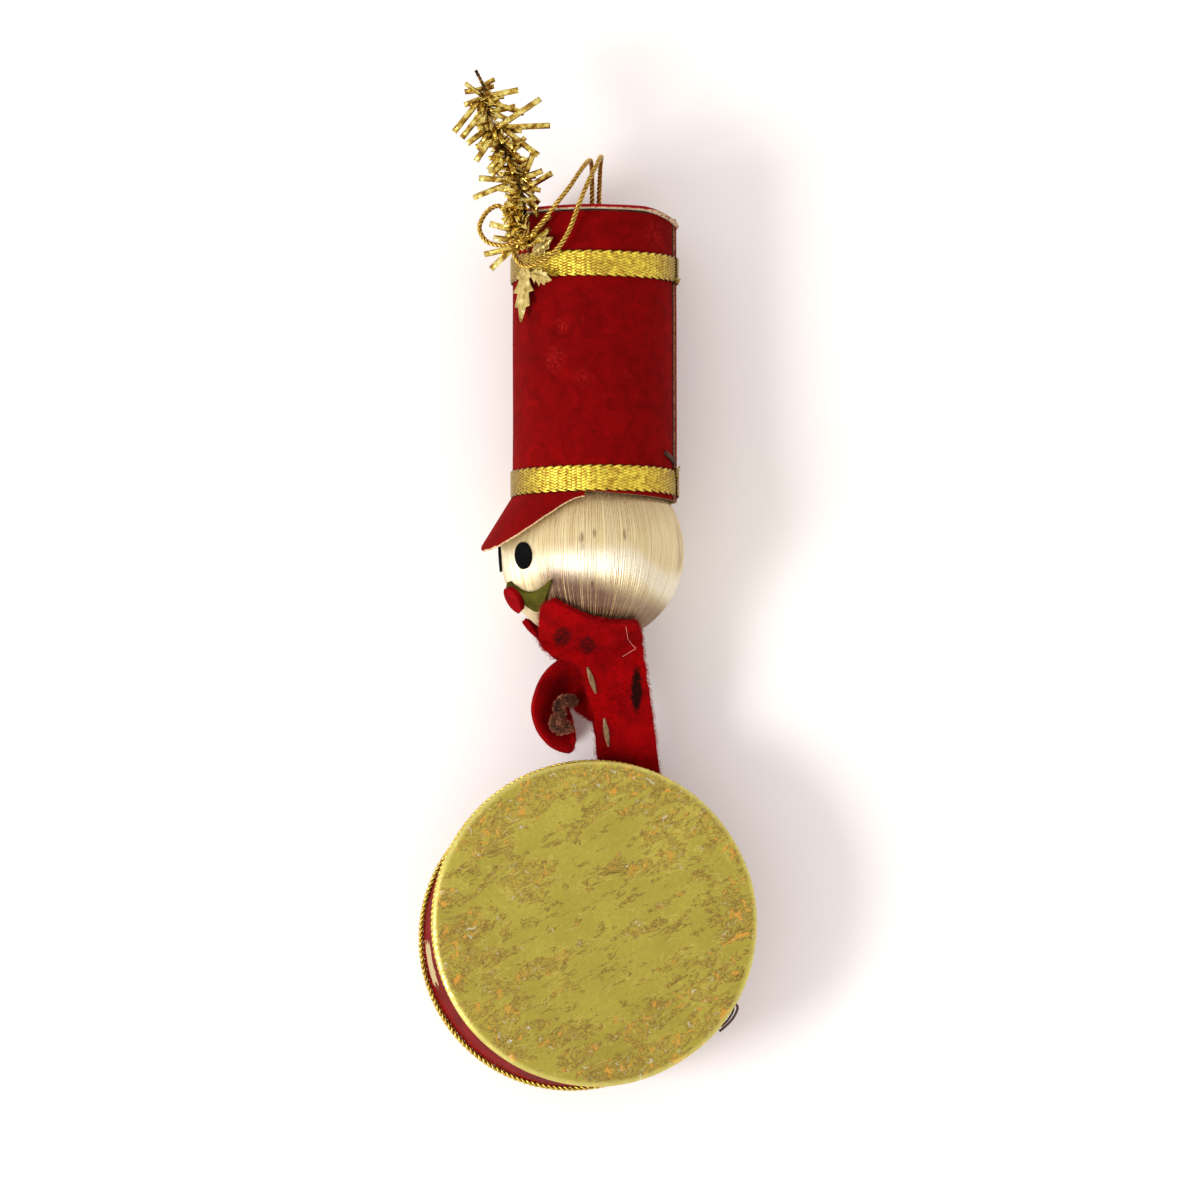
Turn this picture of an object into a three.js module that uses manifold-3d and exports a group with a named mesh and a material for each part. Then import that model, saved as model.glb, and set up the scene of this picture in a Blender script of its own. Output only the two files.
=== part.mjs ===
// A toy soldier tree ornament of card, velvet paper, felt and foil, lying face up to one side.
// X runs to the figure's back, Y from the drum to the top of the hat, Z up from the table.
// The origin is the centre of the drum's back head, which lies flat on the table.
import * as THREE from 'three';
import { mergeVertices } from 'three/addons/utils/BufferGeometryUtils.js';
import Module from 'manifold-3d';

const wasm = await Module();
wasm.setup();

// Driving dimensions, in millimetres and degrees.
const clearance = 0.3;

const drumDepth = 26;
const drumFrontRadius = 33.4;
const drumBackRadius = 30.2;
const drumHeadThickness = 1.2;
const drumWall = 1.2;
const drumFrontOverhang = 1.1;
const drumBackOverhang = 0.4;
const drumLean = new THREE.Vector2(4.2, 3.5);
const drumTrimRadius = 0.55;
const drumTrimSides = 5;
const drumSides = 48;

const ballRadius = 19;
const ballX = 3.9;
const ballY = 80;
const faceAzimuth = 71;
const eyeRadius = 2.55;
const eyeThickness = 0.7;
const eyeSpread = 20.5;
const eyeElevation = -4;
const patchBevel = 0.94;
const noseRadius = 2.5;
const noseThickness = 1.1;
const noseElevation = -31;
const noseTaper = 0.9;
const moustacheThickness = 0.9;
const moustacheSpread = 41;
const moustacheElevation = -20;
const moustacheDrop = 13.5;
const moustacheHalfWidth = 5.5;
const moustacheTip = 0.9;

const hatRadius = 16.8;
const hatWall = 0.7;
const hatLength = 57.5;
const hatSideShift = 0.4;
const hatEndSlant = 1;
const outlineSteps = 44;
const seamAzimuth = 74;
const seamStep = 0.4;
const seamArc = 50;
const seamSlit = 0.012;
const hatTopRadius = 17.4;
const hatTopThickness = 1;
const cordHoleRadius = 1.75;
const braidWidth = 5.6;
const braidThickness = 0.6;
const upperBraidBelowTop = 7.7;
const visorSpread = 62;
const visorLength = 10.5;
const visorFlare = 0.62;
const visorThickness = 0.9;
const visorEnd = 0.25;

const coatThickness = 1.8;
const coatBlend = 1.2;
const coatNeckSag = 1.6;
const coatShoulderHeight = 23.6;
const coatHemHeight = 15;
const farShoulderHeight = 13;
const farHemHeight = 10.5;
const sleeveThickness = 1.5;
const sleeveShrink = 0.42;
const handRadius = 1.3;
const stitchThickness = 0.5;
const stitchHalfWidth = 0.65;
const stitchTip = 0.12;

const wireRadius = 0.4;
const plumeAzimuth = 46.3;
const plumeStandOff = 1.95;
const tinselWidth = 1.1;
const tinselThickness = 0.3;
const tinselStrips = 22;
const tinselLength = 5;
const tinselFoot = 0.3;
const tinselTurn = 2.4;
const tinselLean = 0.45;
const leafThickness = 0.3;
const cordRadius = 0.55;

// Places that follow from the sizes above.
const hoopBottom = drumHeadThickness + clearance;
const hoopTop = drumDepth - drumHeadThickness - clearance;
const hoopBottomRadius = drumBackRadius - drumBackOverhang;
const hoopTopRadius = drumFrontRadius - drumFrontOverhang;
const ballCentre = new THREE.Vector3(ballX, ballY, ballRadius);
const hatMouth = hatRadius - hatWall - hatSideShift;
const hatRim = Math.sqrt((ballRadius + clearance) ** 2 - hatMouth ** 2);
const braidOutside = hatRadius + clearance + braidThickness;
const upperBraidStart = hatRim + hatLength - upperBraidBelowTop - braidWidth;
const hatDroop = Math.asin((ballRadius - braidOutside) / (upperBraidStart + braidWidth));
const endSlope = Math.tan(THREE.MathUtils.degToRad(hatEndSlant));

const ornament = new THREE.Group();
const head = new THREE.Group();
const hat = new THREE.Group();
head.position.copy(ballCentre);
hat.position.copy(ballCentre);
hat.rotation.x = -hatDroop;
ornament.add(head, hat);

function finish(color, roughness, metalness) {
  return new THREE.MeshStandardMaterial({ color, roughness, metalness });
}

const goldFoil = () => finish(0xb5a23c, 0.3, 0.9);
const goldThread = () => finish(0xc9a53a, 0.4, 0.8);
const velvet = () => finish(0x9a0d12, 0.9, 0);
const felt = () => finish(0xc20f17, 0.95, 0);

function addPiece(parent, name, geometry, material) {
  const mesh = new THREE.Mesh(geometry, material);
  mesh.name = name;
  parent.add(mesh);
  return mesh;
}

// Shared shapes.
function sheetSolid(surface, across, along, thickness) {
  const step = 1e-3;
  const top = [];
  const bottom = [];
  for (let i = 0; i <= across; i += 1) {
    for (let j = 0; j <= along; j += 1) {
      const u = i / across;
      const v = j / along;
      const point = surface(u, v);
      const du = surface(u + step, v).sub(surface(u - step, v));
      const dv = surface(u, v + step).sub(surface(u, v - step));
      const offset = du.cross(dv).setLength(thickness / 2);
      top.push(point.clone().add(offset));
      bottom.push(point.clone().sub(offset));
    }
  }
  const at = (i, j) => i * (along + 1) + j;
  const under = top.length;
  const index = [];
  for (let i = 0; i < across; i += 1) {
    for (let j = 0; j < along; j += 1) {
      const quad = [at(i, j), at(i + 1, j), at(i + 1, j + 1), at(i, j + 1)];
      index.push(quad[0], quad[1], quad[2], quad[0], quad[2], quad[3]);
      index.push(under + quad[0], under + quad[2], under + quad[1]);
      index.push(under + quad[0], under + quad[3], under + quad[2]);
    }
  }
  const edge = [];
  for (let i = 0; i < across; i += 1) edge.push(at(i, 0));
  for (let j = 0; j < along; j += 1) edge.push(at(across, j));
  for (let i = across; i > 0; i -= 1) edge.push(at(i, along));
  for (let j = along; j > 0; j -= 1) edge.push(at(0, j));
  edge.forEach((a, k) => {
    const b = edge[(k + 1) % edge.length];
    index.push(a, under + a, under + b, a, under + b, b);
  });
  const geometry = new THREE.BufferGeometry();
  const positions = [...top, ...bottom].flatMap((p) => [p.x, p.y, p.z]);
  geometry.setAttribute('position', new THREE.Float32BufferAttribute(positions, 3));
  geometry.setIndex(index);
  return geometry;
}

function latheAboutZ(profile, segments) {
  const points = profile.map(([radius, height]) => new THREE.Vector2(radius, height));
  return new THREE.LatheGeometry(points, segments).rotateX(Math.PI / 2);
}

function rod(points, radius, sides, steps) {
  const section = new THREE.Shape();
  for (let k = 0; k < sides; k += 1) {
    const turn = (k / sides) * 2 * Math.PI;
    const [x, y] = [radius * Math.cos(turn), radius * Math.sin(turn)];
    if (k === 0) section.moveTo(x, y);
    else section.lineTo(x, y);
  }
  const extrudePath = new THREE.CatmullRomCurve3(points.map((p) => new THREE.Vector3(...p)));
  return new THREE.ExtrudeGeometry(section, { steps, extrudePath, bevelEnabled: false });
}

function onBall(azimuth, elevation, radius) {
  const turn = THREE.MathUtils.degToRad(azimuth);
  const lift = THREE.MathUtils.degToRad(elevation);
  return new THREE.Vector3(
    -radius * Math.sin(turn) * Math.cos(lift),
    radius * Math.sin(lift),
    radius * Math.cos(turn) * Math.cos(lift),
  );
}

// The drum: a card hoop that stands a little out of square, two foil heads and two gold trims.
function leanDrum(geometry) {
  const place = geometry.attributes.position;
  for (let i = 0; i < place.count; i += 1) {
    const share = place.getZ(i) / drumDepth;
    place.setX(i, place.getX(i) + drumLean.x * share);
    place.setY(i, place.getY(i) + drumLean.y * share);
  }
  return geometry;
}

function hoopRadiusAt(height) {
  const share = (height - hoopBottom) / (hoopTop - hoopBottom);
  return hoopBottomRadius + (hoopTopRadius - hoopBottomRadius) * share;
}

function drumHead(radius, bottom, rolledEdge) {
  const top = bottom + drumHeadThickness;
  const roll = drumHeadThickness / 3;
  const rim = rolledEdge
    ? [[radius - roll, bottom], [radius, bottom + roll], [radius, top - roll], [radius - roll, top]]
    : [[radius, bottom], [radius, top]];
  return leanDrum(latheAboutZ([[0, bottom], ...rim, [0, top]], drumSides));
}

function drumHoop() {
  const profile = [
    [hoopBottomRadius, hoopBottom],
    [hoopTopRadius, hoopTop],
    [hoopTopRadius - drumWall, hoopTop],
    [hoopBottomRadius - drumWall, hoopBottom],
    [hoopBottomRadius, hoopBottom],
  ];
  return leanDrum(latheAboutZ(profile, drumSides));
}

function drumTrim(height) {
  const ring = hoopRadiusAt(height) + clearance + drumTrimRadius;
  const profile = [];
  for (let k = 0; k <= drumTrimSides; k += 1) {
    const turn = ((k % drumTrimSides) / drumTrimSides) * 2 * Math.PI;
    profile.push([ring + drumTrimRadius * Math.cos(turn), height + drumTrimRadius * Math.sin(turn)]);
  }
  return leanDrum(latheAboutZ(profile, drumSides));
}

const frontTrimHeight = hoopTop - drumTrimRadius;
const backTrimHeight = hoopBottom + drumTrimRadius;
const frontHeadBack = drumDepth - drumHeadThickness;
addPiece(ornament, 'drum_back_head', drumHead(drumBackRadius, 0, false), goldFoil());
addPiece(ornament, 'drum_front_head', drumHead(drumFrontRadius, frontHeadBack, true), goldFoil());
addPiece(ornament, 'drum_hoop', drumHoop(), finish(0xa01016, 0.35, 0));
addPiece(ornament, 'drum_front_trim', drumTrim(frontTrimHeight), goldThread());
addPiece(ornament, 'drum_back_trim', drumTrim(backTrimHeight), goldThread());

// The head: a thread-wrapped ball with felt features.
function ballPatch(radius, thickness) {
  const inner = ballRadius + clearance;
  const steps = 3;
  const spread = Math.asin(radius / inner);
  const profile = [];
  for (let k = 0; k <= steps; k += 1) {
    const turn = (spread * k) / steps;
    profile.push(new THREE.Vector2(inner * Math.sin(turn), inner * Math.cos(turn)));
  }
  for (let k = steps; k >= 0; k -= 1) {
    const turn = (spread * patchBevel * k) / steps;
    const outer = inner + thickness;
    profile.push(new THREE.Vector2(outer * Math.sin(turn), outer * Math.cos(turn)));
  }
  return new THREE.LatheGeometry(profile, 14);
}

function addPatch(name, radius, thickness, azimuth, elevation, material) {
  const mesh = addPiece(head, name, ballPatch(radius, thickness), material);
  const outward = onBall(azimuth, elevation, 1);
  mesh.quaternion.setFromUnitVectors(new THREE.Vector3(0, 1, 0), outward);
}

function moustacheSurface(u, v) {
  const along = 2 * u - 1;
  const swell = Math.abs(Math.sin(Math.PI * along));
  const middle = moustacheElevation - moustacheDrop * swell;
  const halfWidth = moustacheTip + moustacheHalfWidth * swell;
  const radius = ballRadius + clearance + moustacheThickness / 2;
  return onBall(faceAzimuth - moustacheSpread * along, middle + halfWidth * (1 - 2 * v), radius);
}

addPiece(head, 'head_ball', new THREE.SphereGeometry(ballRadius, 28, 14), finish(0xe9dcc0, 0.35, 0));
[['near_eye', faceAzimuth - eyeSpread], ['far_eye', faceAzimuth + eyeSpread]].forEach(([name, azimuth]) => {
  addPatch(name, eyeRadius, eyeThickness, azimuth, eyeElevation, finish(0x0c0c0d, 0.9, 0));
});
const moustache = sheetSolid(moustacheSurface, 24, 3, moustacheThickness);
addPiece(head, 'moustache', moustache, finish(0x5d6a1c, 0.95, 0));
const noseSeat = clearance + moustacheThickness;
const nose = new THREE.CylinderGeometry(noseRadius * noseTaper, noseRadius, noseThickness, 24);
const noseMesh = addPiece(head, 'nose', nose, felt());
const noseSpot = onBall(faceAzimuth, noseElevation, ballRadius + noseSeat + clearance + noseThickness / 2);
noseMesh.position.copy(noseSpot);
noseMesh.quaternion.setFromUnitVectors(new THREE.Vector3(0, 1, 0), noseSpot.clone().normalize());

// The hat: a velvet card tube with a lapped seam, a disc on its end, two braids and a visor.
function wrapOutline(offset) {
  const points = [];
  const seam = THREE.MathUtils.degToRad(seamAzimuth);
  const arc = THREE.MathUtils.degToRad(seamArc);
  for (let k = 0; k < outlineSteps; k += 1) {
    const back = (k / (outlineSteps - 1)) * (2 * Math.PI - seamSlit);
    const lap = back < arc ? seamStep * (1 - back / arc) : 0;
    points.push({ radius: hatRadius + offset + lap, turn: seam - back });
  }
  return points;
}

function roundOutline(radius) {
  return wrapOutline(0).map(({ turn }) => ({ radius, turn }));
}

// A band around the hat's axis. Its far end follows the slant of the hat's top where slanted says so.
function hatBand(outer, inner, start, length, slanted) {
  const corners = [[inner, start], [outer, start], [outer, start + length], [inner, start + length]];
  const positions = corners.flatMap(([outline, height]) => outline.flatMap(({ radius, turn }) => {
    const z = radius * Math.cos(turn);
    const slant = slanted.includes(height) ? endSlope * z : 0;
    return [hatSideShift + radius * Math.sin(turn), height + slant, z];
  }));
  const index = [];
  corners.forEach((corner, ring) => {
    const next = (ring + 1) % corners.length;
    for (let k = 0; k < outlineSteps; k += 1) {
      const a = ring * outlineSteps + k;
      const b = ring * outlineSteps + ((k + 1) % outlineSteps);
      const c = next * outlineSteps + ((k + 1) % outlineSteps);
      const d = next * outlineSteps + k;
      index.push(a, c, b, a, d, c);
    }
  });
  const geometry = new THREE.BufferGeometry();
  geometry.setAttribute('position', new THREE.Float32BufferAttribute(positions, 3));
  geometry.setIndex(index);
  return geometry;
}

function visorSurface(u, v) {
  const turn = 2 * u - 1;
  const drop = visorEnd + visorLength * (1 - turn * turn) ** 2 * v;
  const azimuth = THREE.MathUtils.degToRad(faceAzimuth + visorSpread * turn);
  const radius = hatRadius + visorThickness / 2 + visorFlare * drop;
  const height = hatRim - clearance - visorThickness / 2 - drop;
  return new THREE.Vector3(hatSideShift - radius * Math.sin(azimuth), height, radius * Math.cos(azimuth));
}

const hatEnd = hatRim + hatLength;
const hatTopStart = hatEnd + clearance;
const hatTopEnd = hatTopStart + hatTopThickness;
const tubeInside = roundOutline(hatRadius - hatWall);
addPiece(hat, 'hat_tube', hatBand(wrapOutline(0), tubeInside, hatRim, hatLength, [hatEnd]), velvet());
const hatTop = hatBand(
  roundOutline(hatTopRadius),
  roundOutline(cordHoleRadius),
  hatTopStart,
  hatTopThickness,
  [hatTopStart, hatTopEnd],
);
addPiece(hat, 'hat_top', hatTop, velvet());
[['lower_braid', hatRim], ['upper_braid', upperBraidStart]].forEach(([name, start]) => {
  const outside = wrapOutline(clearance + braidThickness);
  addPiece(hat, name, hatBand(outside, wrapOutline(clearance), start, braidWidth, []), goldThread());
});
addPiece(hat, 'visor', sheetSolid(visorSurface, 20, 4, visorThickness), velvet());

// The coat: two layers of felt that hug the ball's underside and run down to the drum's hoop.
function ballHeight(x, y, radius) {
  const inside = radius ** 2 - (x - ballX) ** 2 - (y - ballY) ** 2;
  return Math.sign(inside) * Math.sqrt(Math.abs(inside));
}

function softMax(a, b, blend) {
  return Math.max(a, b) + blend * Math.log1p(Math.exp(-Math.abs(a - b) / blend));
}

const coatHug = ballRadius + 2 * clearance + coatThickness / 2;
const neckY = ballY - ballRadius;
const hemY = drumBackRadius;

function nearHeight(x, y) {
  const share = (neckY - y) / (neckY - hemY);
  const slope = coatShoulderHeight + (coatHemHeight - coatShoulderHeight) * share;
  return softMax(ballRadius + ballHeight(x, y, coatHug), slope, coatBlend);
}

function farHeight(x, y) {
  const share = (neckY - y) / (neckY - hemY);
  const slope = farShoulderHeight + (farHemHeight - farShoulderHeight) * share;
  return -softMax(-ballRadius + ballHeight(x, y, coatHug), -slope, coatBlend);
}

// Where a coat's hem meets the hoop at this X and height.
function hoopEdge(x, height) {
  const share = height / drumDepth;
  const reach = hoopRadiusAt(height) + 2 * clearance;
  return drumLean.y * share + Math.sqrt(reach ** 2 - (x - drumLean.x * share) ** 2);
}

const leftHem = 5;
const rightHem = 18.6;
const coatLeft = [
  [-4.9, 69.6], [-6.8, 68.2], [-7.2, 65.5], [-6.6, 61.5], [-5, 59.6], [-2, 58.3], [1, 56.2], [2.7, 51.5],
  [4.7, 43.3],
];
const coatRight = [[12.4, 65.2], [13.6, 62.5], [14.6, 56.6], [16, 48.4], [17.2, 40.3]];

function edgeCurve(points, hemX, height) {
  const places = [...points, [hemX, hoopEdge(hemX, height)]];
  return new THREE.CatmullRomCurve3(places.map(([x, y]) => new THREE.Vector3(x, y, 0)));
}

function coatSurface(left, right, heightAt) {
  return (u, v) => {
    const share = THREE.MathUtils.clamp(v, 0, 1);
    const start = left.getPoint(share);
    const end = right.getPoint(share);
    const point = start.lerp(end, u);
    const sag = coatNeckSag * Math.sin(Math.PI * THREE.MathUtils.clamp(u, 0, 1)) * (1 - share) ** 6;
    point.y = Math.max(point.y - sag, hoopEdge(point.x, heightAt(point.x, hemY)));
    point.z = heightAt(point.x, point.y);
    return point;
  };
}

const nearLeft = edgeCurve(coatLeft, leftHem, coatHemHeight);
const nearRight = edgeCurve(coatRight, rightHem, coatHemHeight);
const nearCoat = coatSurface(nearLeft, nearRight, nearHeight);
addPiece(ornament, 'coat_near_layer', sheetSolid(nearCoat, 8, 15, coatThickness), felt());

const farCoatLeft = [[-10, 66.2], [-7, 62], [-4, 58.5], [0, 56], [3, 50], [4.7, 43.3]];
const farCoatRight = [[11.4, 65], [13, 61], [14, 56.6], [15.6, 48.4], [16.8, 40.3]];
const farLeft = edgeCurve(farCoatLeft, leftHem + 1, farHemHeight);
const farRight = edgeCurve(farCoatRight, rightHem - 1, farHemHeight);
const farCoat = coatSurface(farLeft, farRight, farHeight);
addPiece(ornament, 'coat_far_layer', sheetSolid(farCoat, 7, 12, coatThickness), felt());

// The running stitches lie on the near layer.
function stitch(start, end) {
  const run = new THREE.Vector2().subVectors(end, start);
  const side = new THREE.Vector2(-run.y, run.x).normalize();
  const lift = coatThickness / 2 + clearance + stitchThickness / 2;
  return (u, v) => {
    const halfWidth = stitchTip + stitchHalfWidth * Math.sin(Math.PI * THREE.MathUtils.clamp(v, 0, 1));
    const x = start.x + run.x * v + side.x * halfWidth * (1 - 2 * u);
    const y = start.y + run.y * v + side.y * halfWidth * (1 - 2 * u);
    const step = 0.1;
    const rise = (nearHeight(x, y + step) - nearHeight(x, y - step)) / (2 * step);
    return new THREE.Vector3(x, y, nearHeight(x, y) + lift * Math.sqrt(1 + rise * rise));
  };
}

const stitches = [
  ['upper_stitch', new THREE.Vector2(2.7, 56.1), new THREE.Vector2(4.5, 50.8)],
  ['lower_stitch', new THREE.Vector2(6.3, 45.7), new THREE.Vector2(7.3, 39.9)],
];
stitches.forEach(([name, start, end]) => {
  addPiece(ornament, name, sheetSolid(stitch(start, end), 2, 8, stitchThickness), finish(0xb08a48, 0.7, 0));
});

// Each sleeve is a felt strip curled into a scoop, with a chenille hand in it.
function sleeveSurface(rim, centre, shrink) {
  return (u, v) => {
    const edge = rim.getPoint(THREE.MathUtils.clamp(u, 0, 1));
    const depth = THREE.MathUtils.clamp(v, 0, 1);
    const share = 1 - (1 - shrink) * depth;
    return new THREE.Vector3(
      centre.x + (edge.x - centre.x) * share,
      centre.y + (edge.y - centre.y) * share,
      edge.z + (centre.z - edge.z) * Math.sin((depth * Math.PI) / 2),
    );
  };
}

const nearSleeveRim = [
  [5, 56.2, 20.1], [2, 57.9, 20.4], [-1.6, 58.3, 21], [-4.8, 56.2, 21.6], [-7.2, 52.6, 22], [-8.6, 47.7, 22],
  [-7.6, 43.4, 22], [-5.2, 40.3, 22], [-2.5, 38.9, 22], [-0.4, 38.6, 21.5], [0.3, 40.6, 20.5],
];
const nearHand = [
  [0.2, 49.4, 15.5], [-0.8, 49.4, 18.2], [-2.2, 49.2, 20.6], [-3.2, 47.9, 21.6], [-2.7, 46.4, 21.8],
  [-3.6, 45.4, 22], [-4, 44.4, 22.5], [-3.3, 43.5, 22.8], [-1.9, 43.5, 22.6], [-0.7, 44.1, 22.2],
];
const farSleeveRim = [
  [5, 56.2, 10.4], [2, 57.2, 9.6], [-1.4, 57, 7], [-4.2, 54.6, 4], [-6, 51, 2.4], [-6.7, 47.4, 2],
  [-5.9, 44, 2], [-4, 41.6, 2], [-1.8, 40.6, 2.2], [-0.2, 41, 3],
];

function sleeve(rim, centre, across, along) {
  const curve = new THREE.CatmullRomCurve3(rim.map((p) => new THREE.Vector3(...p)));
  const surface = sleeveSurface(curve, new THREE.Vector3(...centre), sleeveShrink);
  return sheetSolid(surface, across, along, sleeveThickness);
}

addPiece(ornament, 'near_sleeve', sleeve(nearSleeveRim, [-0.9, 50.4, 15], 20, 5), felt());
addPiece(ornament, 'near_hand', rod(nearHand, handRadius, 6, 22), finish(0xa5784a, 0.95, 0));
addPiece(ornament, 'far_sleeve', sleeve(farSleeveRim, [-0.7, 50.3, 8.6], 16, 4), felt());

// The plume: foil strips on a wire, with three foil leaves at its foot. The wire starts on the braid.
function onHat(azimuth, radius, height) {
  const turn = THREE.MathUtils.degToRad(azimuth);
  const place = new THREE.Vector3(hatSideShift - radius * Math.sin(turn), height, radius * Math.cos(turn));
  return place.applyAxisAngle(new THREE.Vector3(1, 0, 0), -hatDroop).add(ballCentre);
}

const plumeFoot = onHat(plumeAzimuth, braidOutside + plumeStandOff, upperBraidStart + braidWidth);
const wirePoints = [
  [0, 0, 0], [0, 2.9, 0], [-0.2, 6.2, -0.2], [-1, 9.7, -0.8], [-2.6, 16.6, -1.8],
  [-5.7, 23.3, -2.8], [-8.7, 30.4, -3.4], [-8.9, 33.7, -3.4], [-10.6, 37.4, -3.4],
].map(([x, y, z]) => [plumeFoot.x + x, plumeFoot.y + y, plumeFoot.z + z]);
const cordPoints = [
  [3.95, 147, 17.6], [3.95, 150, 17.7], [3.9, 153.1, 18.2], [3.8, 156.2, 20], [3.5, 159.2, 23.8],
  [2.9, 160.2, 28.5], [1.2, 158.2, 33], [-1.5, 154.1, 36], [-4.6, 150.1, 36.1], [-7.5, 146.4, 34.2],
  [-10, 143.9, 33.6], [-12.8, 142.7, 32.6], [-15.6, 142.4, 31.2], [-18.4, 143.4, 29.6], [-19.8, 146.2, 28.6],
  [-18.4, 149.3, 28.4], [-16, 150.7, 28.8], [-13.9, 149, 29.2], [-13, 145.6, 29.8], [-12.9, 142.5, 30.4],
  [-12.5, 140, 30.8], [-10.9, 138.1, 32], [-8.4, 138.3, 34], [-5.6, 139.8, 35.9], [-3.2, 142.4, 36.4],
  [-1.5, 145.5, 36.4], [-0.1, 149.3, 37.1], [1.8, 154.1, 36.8], [3.9, 158.4, 34], [5.2, 160.9, 29],
  [5.3, 159.4, 23.8], [5.35, 156.3, 20], [5.35, 153.1, 18.2], [5.35, 150, 17.7], [5.35, 147, 17.6],
];

function solidOf(geometry) {
  const bare = new THREE.BufferGeometry();
  bare.setAttribute('position', geometry.attributes.position);
  if (geometry.index) bare.setIndex(geometry.index);
  const merged = mergeVertices(bare, 1e-4);
  const vertProperties = new Float32Array(merged.attributes.position.array);
  const triVerts = new Uint32Array(merged.index.array);
  return new wasm.Manifold(new wasm.Mesh({ numProp: 3, vertProperties, triVerts }));
}

function geometryOf(solid) {
  const mesh = solid.getMesh();
  const geometry = new THREE.BufferGeometry();
  geometry.setAttribute('position', new THREE.BufferAttribute(mesh.vertProperties, 3));
  geometry.setIndex(new THREE.BufferAttribute(mesh.triVerts, 1));
  return geometry;
}

// One foil strip stands out of the wire, leaning towards its tip. Strips over the hat's end point up.
function tinselStrip(path, k) {
  const share = tinselFoot + (0.98 - tinselFoot) * ((k + 0.5) / tinselStrips);
  const foot = path.getPointAt(share);
  const wire = path.getTangentAt(share);
  const side = new THREE.Vector3(0, 0, 1).cross(wire).normalize();
  const up = wire.clone().cross(side);
  const out = side.multiplyScalar(Math.cos(k * tinselTurn)).addScaledVector(up, Math.sin(k * tinselTurn));
  out.addScaledVector(wire, tinselLean + tinselLean * Math.sin(k));
  if (foot.y < hatEnd + ballY + tinselLength) out.z = Math.abs(out.z);
  out.normalize();
  const length = tinselLength * (1 + 0.5 * Math.abs(Math.sin(2 * k)));
  const strip = new THREE.BoxGeometry(tinselWidth, tinselThickness, length);
  strip.translate(0, 0, length / 2 - wireRadius);
  const place = new THREE.Matrix4().lookAt(out, new THREE.Vector3(), wire).setPosition(foot);
  return solidOf(strip.applyMatrix4(place));
}

function plume() {
  const path = new THREE.CatmullRomCurve3(wirePoints.map((p) => new THREE.Vector3(...p)));
  let solid = solidOf(rod(wirePoints, wireRadius, 5, 12));
  for (let k = 0; k < tinselStrips; k += 1) solid = solid.add(tinselStrip(path, k));
  solid = solid.subtract(solidOf(rod(cordPoints, cordRadius + clearance, 6, 56)));
  const parts = solid.decompose();
  parts.sort((a, b) => b.volume() - a.volume());
  return geometryOf(parts[0]);
}

function leafShape(length, halfWidth) {
  const spikes = 4;
  const side = [];
  for (let k = 0; k < spikes; k += 1) {
    const body = Math.sin((Math.PI * (k + 0.6)) / (spikes + 0.4));
    side.push([halfWidth * (0.35 + 0.65 * body), (length * (k + 0.45)) / spikes]);
    side.push([halfWidth * 0.45 * body + 0.25, (length * (k + 0.95)) / spikes]);
  }
  side.pop();
  const outline = [[0.3, 0], ...side, [0, length], ...side.reverse().map(([x, y]) => [-x, y]), [-0.3, 0]];
  return new THREE.Shape(outline.map(([x, y]) => new THREE.Vector2(x, y)));
}

function addLeaf(name, azimuth, height, heading, layer, length, halfWidth) {
  const extrusion = { depth: leafThickness, bevelEnabled: false };
  const geometry = new THREE.ExtrudeGeometry(leafShape(length, halfWidth), extrusion);
  geometry.rotateZ(THREE.MathUtils.degToRad(heading));
  const mesh = addPiece(hat, name, geometry, goldFoil());
  const turn = THREE.MathUtils.degToRad(azimuth);
  const radius = braidOutside + clearance + layer * (leafThickness + clearance);
  mesh.rotation.y = -turn;
  mesh.position.set(hatSideShift - radius * Math.sin(turn), height, radius * Math.cos(turn));
}

addPiece(ornament, 'plume', plume(), goldFoil());
addLeaf('leaf_pointing_down', 55, upperBraidStart + 3.2, 180, 0, 12, 3);
addLeaf('leaf_pointing_right', 47, upperBraidStart + 0.8, 255, 1, 7, 2);
addLeaf('leaf_pointing_up', 47, upperBraidStart + 5.4, 290, 0, 7, 2.2);

// The hanging cord is one loop with both ends in the hole of the hat's top.
addPiece(ornament, 'hanging_cord', rod(cordPoints, cordRadius, 6, 56), goldThread());

export default ornament;
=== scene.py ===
# %% [markdown]
# A toy soldier ornament, finished in Blender.
#
# The ornament is a little drummer of card, velvet paper, felt, foil and thread. It lies on its back on a
# pale table and is seen from above. The solid model that this script loads has every piece in its place.
# This script gives each piece the shape and finish of the real one: threads, plaits, fibres and foil.
#
# All lengths are in metres. mm() turns the millimetres that a maker would use into metres.

# %% Load the solid model
import math
import random

import bmesh
import bpy
from mathutils import Matrix, Vector, kdtree, noise


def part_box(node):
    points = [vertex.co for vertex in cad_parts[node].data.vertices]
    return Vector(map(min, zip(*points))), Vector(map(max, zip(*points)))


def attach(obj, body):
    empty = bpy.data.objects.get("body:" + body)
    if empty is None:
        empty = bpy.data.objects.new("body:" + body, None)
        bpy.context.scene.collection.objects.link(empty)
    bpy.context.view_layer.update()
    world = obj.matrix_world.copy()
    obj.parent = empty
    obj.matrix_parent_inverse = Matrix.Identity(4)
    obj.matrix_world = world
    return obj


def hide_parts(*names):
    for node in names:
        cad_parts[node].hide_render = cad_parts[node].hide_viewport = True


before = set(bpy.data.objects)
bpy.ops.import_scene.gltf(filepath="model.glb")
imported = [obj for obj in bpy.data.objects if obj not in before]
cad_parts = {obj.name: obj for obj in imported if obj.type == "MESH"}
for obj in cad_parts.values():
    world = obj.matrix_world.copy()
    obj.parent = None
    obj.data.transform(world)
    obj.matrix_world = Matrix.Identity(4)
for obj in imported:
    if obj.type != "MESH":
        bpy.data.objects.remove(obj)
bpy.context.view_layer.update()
random.seed(21)
print("solid nodes:", len(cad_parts))


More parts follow.
